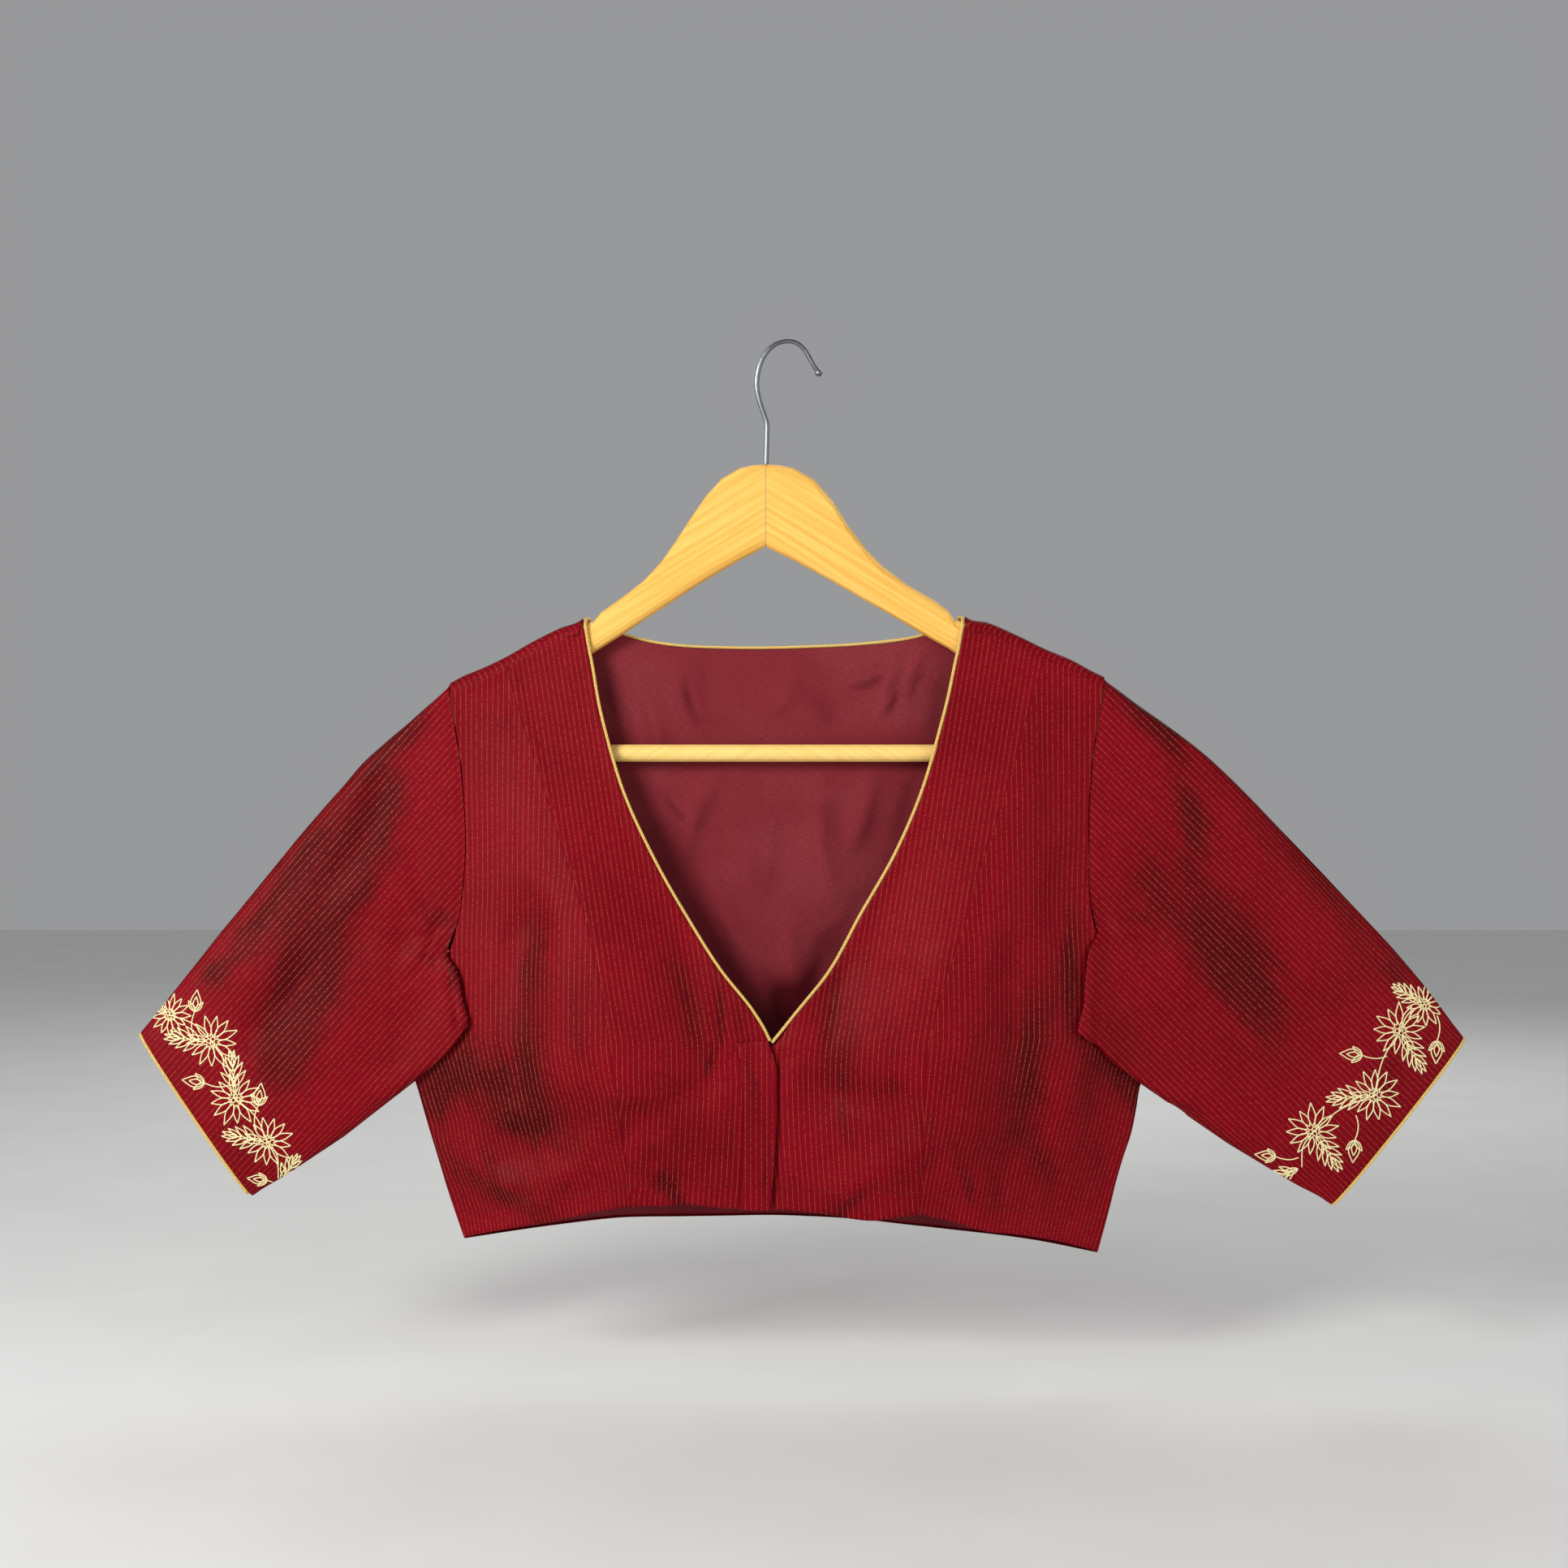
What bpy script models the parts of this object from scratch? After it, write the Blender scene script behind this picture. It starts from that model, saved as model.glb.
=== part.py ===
"""A choli blouse hanging flat on a wooden hanger, its front towards -Y.

The origin is the underside of the hook's crook, where the hanger is held.
Left and right are those of someone looking at the front, so left is -X.
Sizes are millimetres, turned into metres as each mesh is made.
A height is given as its drop below the origin, so z is minus the drop.
"""

import math
from collections import namedtuple

import bmesh
import bpy
import numpy as np

MM = 0.001

# Cloth
WALL = 1.0
SEAM_GAP = 0.3
LINING_HEM_SHARE = 0.1
SHARP_ANGLE = 40

# Corded piping
PIPING_RADIUS = 1.0
PIPING_SIDES = 6
PIPING_STEP = 7.5
CUFF_PIPING_STEP = 7.0
CUFF_PIPING_GAP = 0.5
NECK_PIPING_START = 4.5
NECK_PIPING_END = {"left": 400.5, "right": 391.0}
NECK_PIPING_ANGLES = (92, 118, 142)
BACK_PIPING_INSET = 2.2
BACK_PIPING_ANGLES = (25, 50, 82)

# Shoulder ridge, the round top of the blouse over the hanger's arms
RIDGE_HEIGHT = 8.0
RIDGE_FRONT = 7.4
RIDGE_BACK = 9.0
SHOULDER_STRIP = 6.0
RIDGE_ANGLES = (28, 58, 90, 122, 148, 165.5)

# Body. A range runs from where a shape begins to where it is whole
SIDE_ROLL_SHARE = 0.35
FRONT_FOLD_RANGE = (0.0, 0.18)
BACK_FOLD_RANGE = (0.0, 30.0)
BACK_ROLL = 80.0
BACK_SHIFT_RANGE = (0.6, 1.0)
UNDERLAP_DEPTH = 2.4
UNDERLAP_RANGE_X = (4.0, -2.0)
UNDERLAP_RANGE_DROP = (390.0, 398.0)
V_RANGE = (402.0, 408.0)
EDGE_POWER = 6

# Drops near which the corners of the panels lie
ARMHOLE_TOP = 200.0
SIDE_LOW = 520.0
PRINCESS_TOP = 186.0
PRINCESS_LOW = 496.0
NECK_TOP = 166.0
OPENING_LOW = 497.0

# Lines of the front panels, from the outer edge to the inner one and from the shoulder to the hem
SIDE_COLUMNS = (0, 0.07, 0.18, 0.32, 0.48, 0.64, 0.82, 1)
CENTRE_COLUMNS = (0, 0.14, 0.28, 0.41, 0.54, 0.67, 0.79, 0.895, 1)
FRONT_ROWS = 25
BAND_TOP_ROW = 17
BAND_COLUMNS = 3

# Lines of the back, where they reach the shoulders and the neck
LEFT_COLUMNS = (-191.4, -184, -174, -160, -144, -128, -114.8)
NECK_COLUMNS = (-108.5, -98, -82, -62, -36, -8, 20, 46, 68, 86, 100.5)
RIGHT_COLUMNS = (107.2, 120, 137, 153, 169, 179, 187.2)
BACK_ROWS = 18

# Underarm, where the sleeve's cloth droops over the side of the body
FOLD_START = {"left": 349.0, "right": 339.5}
UNDERARM_DROP = 406.4
LOBE_THICKNESS = 5.0
LOBE_CLEARANCE = 1.2
LOBE_ROLL = 1.9
LOBE_TOP = 330.0
LOBE_LEAD = 2.0
LOBE_EASE = 12.0
FOLD_EASE = 8.0
SEAM_TUCK = 0.4
SEAM_TURN_OUT = 2.2
SEAM_TURN_RANGE = (0.7, 1.0)
SEAM_CLEARANCE = 0.5
SINK_FADE = 25.0
HIDDEN_SEAM_CLEARANCE = 1.4

# Sleeve. Its ranges are shares of its length, from the cuff at 0 to the armhole at 1
TUBE_POWER = 2.3
CREASE_POWER = 2.0
BACK_CREASE_SHARE = 0.7
UNDERARM_START = 0.5
BODY_RANGE = (0.45, 0.85)
LOBE_RANGE = (0.5, 0.7)
BOW_RANGE = (0.6, 1.0)
SETBACK_RANGE = (0.8, 1.0)
HIDDEN_SHARE = 0.6
RIDGE_FADE = 40.0

# Hanger
ARM_HALF_THICKNESS = 5.5
BAR_RADIUS = 5.0
BAR_DROP = 236.8
BAR_LEFT_END = -203.2
BAR_RIGHT_END = 186.2
BAR_SIDES = 16
WIRE_RADIUS = 1.45
WIRE_SIDES = 8
WIRE_POINTS = 32
BALL_RADIUS = 2.2
BALL_ANGLES = (140, 115, 90, 65, 40, 15)

OUT = {"left": -1.0, "right": 1.0}

# The edges of the front, read from the shoulder to the hem: across, and how far forward (-Y)
Edge = namedtuple("Edge", "drop x y")

# The neckline, which runs on below the V as the edge of the opening
NECK = {
    "left": [
        Edge(158.0, -112.3, -6.8), Edge(170, -110.6, -8.0), Edge(187, -107.3, -9.0),
        Edge(208, -103.7, -9.8), Edge(229, -98.5, -11.0), Edge(260, -88.8, -13.5),
        Edge(294, -73.0, -17.0), Edge(330, -52.7, -21.0), Edge(360, -33.2, -25.0),
        Edge(385, -13.4, -27.5), Edge(402, -4.4, -28.0), Edge(421, -2.6, -28.0),
        Edge(455, -2.8, -26.0), Edge(498, -6.3, -22.0),
    ],
    "right": [
        Edge(157.0, 104.6, -6.8), Edge(170, 102.6, -8.0), Edge(187, 99.0, -9.0),
        Edge(206, 95.0, -9.8), Edge(223, 90.5, -11.0), Edge(260, 79.4, -13.5),
        Edge(295, 64.0, -17.0), Edge(329, 44.4, -21.0), Edge(362, 25.8, -25.0),
        Edge(388, 4.6, -27.5), Edge(398, -3.2, -28.0), Edge(410, -11.0, -28.0),
        Edge(420, -14.5, -28.0), Edge(455, -15.5, -26.0), Edge(498, -16.0, -22.0),
    ],
}

# The princess seam, which runs over the bust
PRINCESS = {
    "left": [
        Edge(180.0, -158.8, -7.2), Edge(208, -152.3, -9.0), Edge(228, -146.3, -11.0),
        Edge(246, -139.6, -14.0), Edge(270, -131.6, -18.0), Edge(294, -123.5, -22.0),
        Edge(316, -115.5, -27.0), Edge(340, -107.5, -32.0), Edge(375, -99.6, -38.5),
        Edge(415, -94.0, -41.0), Edge(434, -91.5, -39.5), Edge(453, -89.7, -36.0),
        Edge(473, -87.0, -30.0), Edge(500, -85.6, -23.0),
    ],
    "right": [
        Edge(176.0, 154.4, -7.2), Edge(220, 141.8, -10.0), Edge(237, 137.0, -12.0),
        Edge(253, 132.0, -15.0), Edge(288, 119.8, -21.0), Edge(312, 110.8, -26.0),
        Edge(330, 106.0, -30.0), Edge(359, 95.2, -36.0), Edge(390, 86.0, -40.0),
        Edge(410, 82.2, -41.0), Edge(438, 81.3, -38.5), Edge(469, 81.2, -31.0),
        Edge(502, 79.0, -23.0),
    ],
}

# The armhole, down to the underarm, and the side seam below it
Side = namedtuple("Side", "drop x y back")
SIDE = {
    "left": [
        Side(196, -191.4, -7.4, 9.0), Side(219, -188.0, -7.6, 9.0),
        Side(243, -184.2, -7.8, 9.0), Side(270, -182.0, -8.0, 9.0),
        Side(290, -181.3, -8.0, 9.0), Side(311, -182.5, -8.0, 8.5),
        Side(328, -184.7, -8.0, 8.0), Side(344, -188.4, -7.8, 7.6),
        Side(365, -196.5, -6.2, 6.0), Side(385, -206.5, -4.0, 4.0),
        Side(400, -215.5, -2.0, 2.0), Side(407, -218.0, -1.3, 1.3),
        Side(428, -211.0, -1.3, 1.3), Side(450, -204.7, -1.3, 1.3),
        Side(472, -198.0, -1.3, 1.3), Side(493, -191.6, -1.3, 1.3),
        Side(517, -183.3, -1.3, 1.3),
    ],
    "right": [
        Side(192, 187.2, -7.4, 9.0), Side(219, 182.7, -7.6, 9.0),
        Side(246, 179.0, -7.8, 9.0), Side(270, 177.4, -8.0, 9.0),
        Side(290, 177.3, -8.0, 9.0), Side(320, 178.0, -8.0, 8.5),
        Side(336, 180.6, -8.0, 8.0), Side(344, 183.6, -7.8, 7.6),
        Side(365, 192.5, -6.2, 6.0), Side(385, 202.5, -4.0, 4.0),
        Side(400, 211.3, -2.0, 2.0), Side(407, 213.8, -1.3, 1.3),
        Side(428, 208.5, -1.3, 1.3), Side(458, 202.5, -1.3, 1.3),
        Side(476, 196.5, -1.3, 1.3), Side(500, 190.3, -1.3, 1.3),
        Side(525, 183.6, -1.3, 1.3),
    ],
}

# Lines that run across: the top of the shoulders and the hems
Level = namedtuple("Level", "x drop")
SHOULDER = {
    "left": [
        Level(-224.2, 225.8), Level(-208, 211.5), Level(-197.5, 202.5), Level(-189.7, 195.3),
        Level(-177.2, 189.6), Level(-159.0, 181.0), Level(-146.5, 173.8),
        Level(-134.1, 167.3), Level(-112.8, 157.9),
    ],
    "right": [
        Level(104.6, 157.0), Level(121.3, 161.6), Level(139.1, 169.5), Level(154.7, 177.1),
        Level(168.3, 182.7), Level(181.1, 189.7), Level(187.1, 193.2), Level(194.8, 199.0),
        Level(206.0, 207.0),
    ],
}
FRONT_HEM = {
    "left": [
        Level(-183.3, 516.8), Level(-157.8, 510.7), Level(-138.0, 506.8), Level(-118.8, 502.0),
        Level(-91.4, 495.9), Level(-72.4, 494.8), Level(-52.0, 494.8), Level(-30.4, 496.2),
        Level(-6.0, 497.7),
    ],
    "right": [
        Level(-17.0, 497.3), Level(-3.7, 497.0), Level(34.0, 501.0), Level(47.0, 503.4),
        Level(69.2, 501.0), Level(82.6, 499.8), Level(96.0, 504.0), Level(123.0, 511.4),
        Level(138.0, 513.0), Level(153.5, 516.3), Level(183.6, 525.0),
    ],
}
BACK_HEM = [
    Level(-183.3, 518.0), Level(-121.5, 510.5), Level(-93.6, 507.5), Level(-55.0, 507.0),
    Level(-2.0, 506.0), Level(71.0, 511.0), Level(95.0, 514.0), Level(150.0, 520.5),
    Level(183.6, 526.2),
]
BACK_NECK = [
    Level(-112.3, 158.4), Level(-109.0, 159.5), Level(-102.6, 162.2), Level(-89.6, 167.0),
    Level(-76.5, 170.5), Level(-59.0, 173.0), Level(-34.5, 174.1), Level(-8.8, 174.3),
    Level(14.7, 173.7), Level(42.6, 172.4), Level(63.7, 170.3), Level(80.3, 167.6),
    Level(93.6, 162.3), Level(101.0, 158.6), Level(104.6, 157.4),
]
Depth = namedtuple("Depth", "drop y")
BACK_DEPTH = [
    Depth(157, 9.0), Depth(200, 10.0), Depth(260, 12.5), Depth(340, 13.0),
    Depth(420, 11.0), Depth(470, 9.5), Depth(527, 8.0),
]

# Folds, each a line from one end to the other. A push is a trough, and a pull, below 0, a ridge
Fold = namedtuple("Fold", "x0 drop0 x1 drop1 width push")
FRONT_FOLDS = {
    "left": [
        Fold(-148, 334, -148, 420, 12, 5.0),
        Fold(-172, 417, -150, 445, 8, -3.0),
        Fold(-144, 455, -107, 448, 20, 6.0),
        Fold(-192, 465, -155, 483, 8, -3.0),
        Fold(-155, 483, -140, 489, 8, -3.0),
        Fold(-140, 489, -113, 467, 8, -3.5),
        Fold(-84, 460, -52, 491, 8, 4.0),
        Fold(-19, 401, -49, 429, 8, 2.5),
        Fold(-49, 429, -91, 452, 8, 3.0),
        Fold(-53, 330, -53, 405, 14, 2.5),
        Fold(-139, 309, -139, 344, 7, 1.5),
    ],
    "right": [
        Fold(40, 350, 78, 349, 7, 2.0),
        Fold(28, 379, 28, 424, 11, 2.5),
        Fold(24, 432, 68, 437, 15, 5.0),
        Fold(82, 462, 38, 483, 8, -3.0),
        Fold(38, 483, 25, 493, 7, -2.5),
        Fold(94, 486, 95, 504, 6, 3.0),
        Fold(137, 352, 137, 460, 13, 5.0),
        Fold(163, 410, 163, 432, 10, -2.5),
        Fold(109, 460, 131, 489, 7, 3.0),
        Fold(156, 228, 156, 269, 7, 1.5),
        Fold(160, 306, 160, 343, 8, 2.0),
    ],
}
BACK_FOLDS = [
    Fold(-120, 330, -135, 450, 16, 3.0),
    Fold(-50, 380, -60, 500, 18, -2.0),
    Fold(60, 360, 75, 505, 16, 2.5),
    Fold(130, 320, 140, 440, 14, 3.0),
]

# The sleeve, from the cuff at 0 to the armhole at 1: its top fold and its lower edge
Station = namedtuple("Station", "along x drop")
SLEEVE_TOP = {
    "left": [
        Station(0, -370.4, 398.0), Station(0.05, -361.9, 387.0), Station(0.13, -347.6, 369.5),
        Station(0.2, -336.8, 355.3), Station(0.4, -305.3, 316.7), Station(0.6, -273.3, 277.8),
        Station(0.7, -255.9, 258.0), Station(0.8, -238.5, 238.0), Station(0.87, -225.0, 226.4),
        Station(0.95, -203.5, 207.5), Station(1, -192.0, 197.2),
    ],
    "right": [
        Station(0, 395.3, 401.0), Station(0.05, 384.9, 386.0), Station(0.1, 375.0, 373.8),
        Station(0.18, 360.0, 355.5), Station(0.39, 318.7, 311.0), Station(0.58, 281.1, 271.5),
        Station(0.71, 256.1, 246.4), Station(0.79, 241.3, 233.3), Station(0.87, 221.0, 217.8),
        Station(0.95, 199.0, 202.2), Station(1, 187.8, 193.8),
    ],
}
SLEEVE_LOW = {
    "left": [
        Station(0, -305.6, 493.0), Station(0.2, -280.6, 477.6), Station(0.4, -252.9, 458.8),
        Station(0.6, -225.3, 437.6), Station(0.7, -211.5, 426.8), Station(0.8, -198.2, 413.9),
        Station(1, -179.5, 397.0),
    ],
    "right": [
        Station(0, 318.4, 498.0), Station(0.2, 285.0, 478.2), Station(0.4, 258.0, 461.6),
        Station(0.6, 230.0, 441.6), Station(0.7, 212.0, 430.3), Station(0.8, 195.0, 416.4),
        Station(1, 172.6, 399.5),
    ],
}
# The underarm seam, which leaves the lower edge where the lobes begin
UNDERARM = {
    "left": [
        Station(0.5, -239.0, 448.5), Station(0.6, -229.5, 437.0), Station(0.7, -227.0, 426.0),
        Station(0.85, -223.2, 414.0), Station(1, -221.2, 406.0),
    ],
    "right": [
        Station(0.5, 244.5, 452.0), Station(0.6, 232.0, 440.0), Station(0.7, 227.5, 428.0),
        Station(0.85, 220.2, 414.5), Station(1, 217.0, 406.0),
    ],
}
# The sleeve's end against the body: the armhole, then the edge of the drooping fold
FOLD_EDGE = {
    "left": [
        Level(-191.9, 196), Level(-188.4, 219), Level(-184.6, 243), Level(-182.4, 270),
        Level(-181.7, 290), Level(-182.9, 311), Level(-185.1, 328), Level(-188.9, 343),
        Level(-191.3, 348.5), Level(-188.6, 356), Level(-183.2, 377), Level(-179.5, 398),
    ],
    "right": [
        Level(187.7, 192), Level(183.1, 219), Level(179.4, 246), Level(177.8, 270),
        Level(177.7, 290), Level(178.4, 320), Level(181.0, 334), Level(181.8, 338.5),
        Level(179.0, 348), Level(176.2, 362), Level(174.4, 382), Level(172.6, 400),
    ],
}
SleeveDepth = namedtuple("SleeveDepth", "along front back")
SLEEVE_DEPTH = [
    SleeveDepth(0, 7.5, 7.5), SleeveDepth(0.2, 8.5, 8.5), SleeveDepth(0.45, 11.0, 11.0),
    SleeveDepth(0.7, 13.0, 13.0), SleeveDepth(1, 12.0, 13.0),
]
SLEEVE_FOLDS = {
    "left": [
        Fold(-226, 232, -237, 276, 9, -2.0),
        Fold(-237, 276, -244, 321, 9, -2.0),
        Fold(-213, 330, -203, 345, 7, 3.0),
        Fold(-222, 363, -200, 367, 6, 2.5),
        Fold(-240, 356, -300, 397, 15, 3.5),
        Fold(-262, 292, -285, 330, 12, 2.0),
    ],
    "right": [
        Fold(199, 212, 197, 246, 6, -2.0),
        Fold(197, 246, 190, 321, 6, -2.0),
        Fold(222, 236, 252, 300, 12, 3.5),
        Fold(252, 300, 279, 366, 14, 3.5),
        Fold(202, 329, 223, 348, 7, 3.0),
        Fold(285, 380, 300, 410, 12, 2.0),
    ],
}

# How far round each half of a sleeve its lines run, from the top fold to the underarm
AROUND = (
    0, 0.012, 0.04, 0.10, 0.19, 0.30, 0.42, 0.54, 0.65, 0.70, 0.765, 0.84, 0.93,
    0.955, 0.975, 0.988, 0.996, 1.0,
)
LAST_ON_ARMHOLE = 9
LOW_LINE = 12
RINGS = (0, 0.08, 0.17, 0.27, 0.37, 0.47, 0.56, 0.64, 0.71, 0.78, 0.85, 0.92, 1)
END_SETBACK = 4.5
# How the sleeve's end turns in: how far round the fold, how far short of the end, how near the
# seam, and how much flatter than the sleeve before it
Turn = namedtuple("Turn", "angle short to_seam sink")
TURNS = [
    Turn(60, 3.3, 0.2, 0.01), Turn(120, 2.2, 0.4, 0.025), Turn(180, 1.1, 0.65, 0.045),
    Turn(180, SEAM_GAP, 1, 0.06),
]
# The lines hidden under the lobe: from its lower edge towards the seam, and how near the body
Hidden = namedtuple("Hidden", "to_seam past_edge to_body")
HIDDEN = [
    Hidden(0, LOBE_ROLL, 0.5), Hidden(0, 0, 1.0), Hidden(0.4, 0, 1.0), Hidden(0.82, 0, 1.0),
    Hidden(1, 0, 0),
]

# Hanger arms: across, and the drops of the top and the lower edge where nothing covers them
Arm = namedtuple("Arm", "x top low")
ARMS = {
    "left": [
        Arm(-8.65, 69.8, 117.2), Arm(-16, 70.2, 121.0), Arm(-23.7, 71.9, 125.0),
        Arm(-34.1, 78.0, 131.0), Arm(-42.8, 87.5, 136.2), Arm(-51.5, 100.0, 141.6),
        Arm(-60.2, 113.4, 147.4), Arm(-68.9, 125.8, 153.0), Arm(-79.3, 137.1, 159.8),
        Arm(-91.5, 146.6, 167.8), Arm(-104, 155.4, 175.8), Arm(-108.5, 160.8, 178.6),
        Arm(-113, 161.8, 181.2), Arm(-134, 169.8, 193.0), Arm(-159, 183.2, 206.0),
        Arm(-177, 192.0, 214.6), Arm(-190, 198.5, 221.0), Arm(-203.4, 210.8, 230.6),
        Arm(-204.0, 211.3, 243.4), Arm(-215, 222.0, 245.0), Arm(-219, 227.4, 241.0),
    ],
    "right": [
        Arm(-8.35, 69.8, 117.2), Arm(-1, 70.2, 121.0), Arm(7.6, 71.9, 125.2),
        Arm(19.7, 78.8, 131.8), Arm(30.2, 91.0, 137.6), Arm(38.9, 104.9, 142.5),
        Arm(49.4, 118.8, 148.7), Arm(59.7, 129.2, 154.4), Arm(73.7, 139.7, 162.6),
        Arm(90, 149.2, 172.2), Arm(97, 154.4, 176.0), Arm(101, 160.0, 178.8),
        Arm(106, 160.8, 181.4), Arm(121, 164.4, 188.2), Arm(139, 172.0, 196.4),
        Arm(155, 179.5, 203.6), Arm(172, 187.2, 211.4), Arm(186.4, 196.2, 230.6),
        Arm(187.0, 196.7, 243.4), Arm(198, 205.6, 245.0), Arm(202, 210.4, 241.0),
    ],
}
# The arm's section, half of it: how far out, and from which edge and how deep
Rim = namedtuple("Rim", "out edge deep")
ARM_SECTION = [
    Rim(0.35, "top", 0.0), Rim(0.75, "top", 1.5), Rim(1.0, "top", 4.6),
    Rim(1.0, "low", 4.0), Rim(0.72, "low", 1.0), Rim(0.3, "low", 0.0),
]

# The steel hook, from the wood up round the crook to the ball
HOOK = [
    Level(-8.5, 69.4), Level(-8.0, 51.0), Level(-8.1, 45.5), Level(-9.4, 41.0),
    Level(-11.9, 33.9), Level(-13.8, 25.5), Level(-13.6, 18.0), Level(-11.6, 10.2),
    Level(-7.7, 3.7), Level(-3.3, -0.1), Level(0.6, -1.6), Level(4.8, -2.1),
    Level(9.6, -0.9), Level(14.0, 3.0), Level(17.6, 9.3), Level(20.2, 13.9),
]
HOOK_BALL = Level(22.0, 16.4)


def smooth(part):
    """0 at 0 and below, 1 at 1 and above, with a soft start and end."""
    part = np.clip(part, 0.0, 1.0)
    return part * part * (3 - 2 * part)


def ramp(value, limits):
    """0 up to a range's start, 1 from its end on, and smooth between."""
    start, end = limits
    return smooth((value - start) / (end - start))


def mix(first, second, share):
    return first + (second - first) * share


def unit(vectors):
    return vectors / np.maximum(np.linalg.norm(vectors, axis=-1, keepdims=True), 1e-9)


def read(rows, known, wanted, at):
    """A smooth curve through a table's rows: the wanted column where the known column is at."""
    knots = np.array([getattr(row, known) for row in rows], float)
    values = np.array([getattr(row, wanted) for row in rows], float)
    slopes = np.gradient(values, knots)
    at = np.clip(at, knots[0], knots[-1])
    first = np.clip(np.searchsorted(knots, at) - 1, 0, len(knots) - 2)
    span = knots[first + 1] - knots[first]
    part = (at - knots[first]) / span
    ease = part * part * (3 - 2 * part)
    lead = part * (1 - part) ** 2 * span * slopes[first]
    trail = part * part * (part - 1) * span * slopes[first + 1]
    return mix(values[first], values[first + 1], ease) + lead + trail


def fold_push(folds, x, drop):
    """How far the folds push a point in, by its distance to each fold's line."""
    push = np.zeros(np.broadcast(x, drop).shape)
    for fold in folds:
        run_x = fold.x1 - fold.x0
        run_drop = fold.drop1 - fold.drop0
        share = ((x - fold.x0) * run_x + (drop - fold.drop0) * run_drop) / (run_x**2 + run_drop**2)
        share = np.clip(share, 0.0, 1.0)
        away = np.hypot(x - fold.x0 - share * run_x, drop - fold.drop0 - share * run_drop)
        push = push + fold.push * np.exp(-((away / fold.width) ** 2))
    return push


def front_y(side, x, drop):
    """How far forward the front's outer face lies at a place in the photograph's plane."""
    edge_x = read(SIDE[side], "drop", "x", drop)
    edge_y = read(SIDE[side], "drop", "y", drop)
    seam_x = read(PRINCESS[side], "drop", "x", drop)
    seam_y = read(PRINCESS[side], "drop", "y", drop)
    neck_x = read(NECK[side], "drop", "x", drop)
    neck_y = read(NECK[side], "drop", "y", drop)
    across = np.clip((x - edge_x) / (seam_x - edge_x), 0.0, 1.0)
    roll = mix(smooth(across), 1 - (1 - across) ** 3, SIDE_ROLL_SHARE)
    past_seam = np.clip((x - seam_x) / (neck_x - seam_x), 0.0, 1.0)
    y = np.where(across < 1, mix(edge_y, seam_y, roll), mix(seam_y, neck_y, smooth(past_seam)))
    y = y + fold_push(FRONT_FOLDS[side], x, drop) * ramp(across, FRONT_FOLD_RANGE)
    if side == "right":
        under_band = ramp(x, UNDERLAP_RANGE_X) * ramp(drop, UNDERLAP_RANGE_DROP)
        y = y + UNDERLAP_DEPTH * under_band
    return y


def back_y(x, drop):
    """How far back the back's outer face lies."""
    middle = read(BACK_DEPTH, "drop", "y", drop)
    y = middle
    for side in OUT:
        edge_x = read(SIDE[side], "drop", "x", drop)
        edge_y = read(SIDE[side], "drop", "back", drop)
        inside = np.clip((edge_x - x) * OUT[side] / BACK_ROLL, 0.0, 1.0)
        y = y + (edge_y - middle) * (1 - inside) ** 2
    nearest = np.minimum(
        np.abs(x - read(SIDE["left"], "drop", "x", drop)),
        np.abs(x - read(SIDE["right"], "drop", "x", drop)),
    )
    return y - fold_push(BACK_FOLDS, x, drop) * ramp(nearest, BACK_FOLD_RANGE)


def sheet_points(x, drop, y):
    return np.stack([x, y + 0 * x, -drop + 0 * x], axis=-1)


def face_normals(depth, x, drop, towards):
    """The outward normals of a face given by its depth, towards -Y for -1 and +Y for 1."""
    step = 0.5
    by_x = (depth(x + step, drop) - depth(x - step, drop)) / (2 * step)
    by_z = (depth(x, drop - step) - depth(x, drop + step)) / (2 * step)
    return unit(np.stack([-by_x, np.ones_like(by_x), -by_z], axis=-1)) * towards


def grid_normals(points, closed):
    """Normals of a grid of points, from the directions of the lines that meet at each."""
    directions = []
    for axis, loops in ((0, False), (1, closed)):
        if loops:
            ahead = unit(np.roll(points, -1, axis=axis) - points)
            behind = np.roll(ahead, 1, axis=axis)
        else:
            steps = unit(np.diff(points, axis=axis))
            last = np.take(steps, [-1], axis=axis)
            first = np.take(steps, [0], axis=axis)
            ahead = np.concatenate([steps, last], axis=axis)
            behind = np.concatenate([first, steps], axis=axis)
        directions.append(unit(ahead + behind))
    return unit(np.cross(directions[0], directions[1]))


def linear(red, green, blue):
    """A colour from 0 to 255 as the values that a shader takes."""
    shares = [value / 255 for value in (red, green, blue)]
    return [s / 12.92 if s <= 0.04045 else ((s + 0.055) / 1.055) ** 2.4 for s in shares] + [1.0]


def make_material(name, colour, roughness, metallic=0.0):
    material = bpy.data.materials.new(name)
    material.use_nodes = True
    shader = material.node_tree.nodes["Principled BSDF"]
    shader.inputs["Base Color"].default_value = linear(*colour)
    shader.inputs["Roughness"].default_value = roughness
    shader.inputs["Metallic"].default_value = metallic
    material.diffuse_color = linear(*colour)
    return material


def add_object(name, mesh_data, material):
    """An object from a bmesh in millimetres, closed and facing out."""
    bmesh.ops.recalc_face_normals(mesh_data, faces=mesh_data.faces[:])
    bmesh.ops.scale(mesh_data, vec=(MM, MM, MM), verts=mesh_data.verts[:])
    mesh = bpy.data.meshes.new(name)
    mesh_data.to_mesh(mesh)
    mesh_data.free()
    mesh.materials.append(material)
    mesh.shade_smooth()
    mesh.set_sharp_from_angle(angle=math.radians(SHARP_ANGLE))
    bpy.context.scene.collection.objects.link(bpy.data.objects.new(name, mesh))


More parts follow.
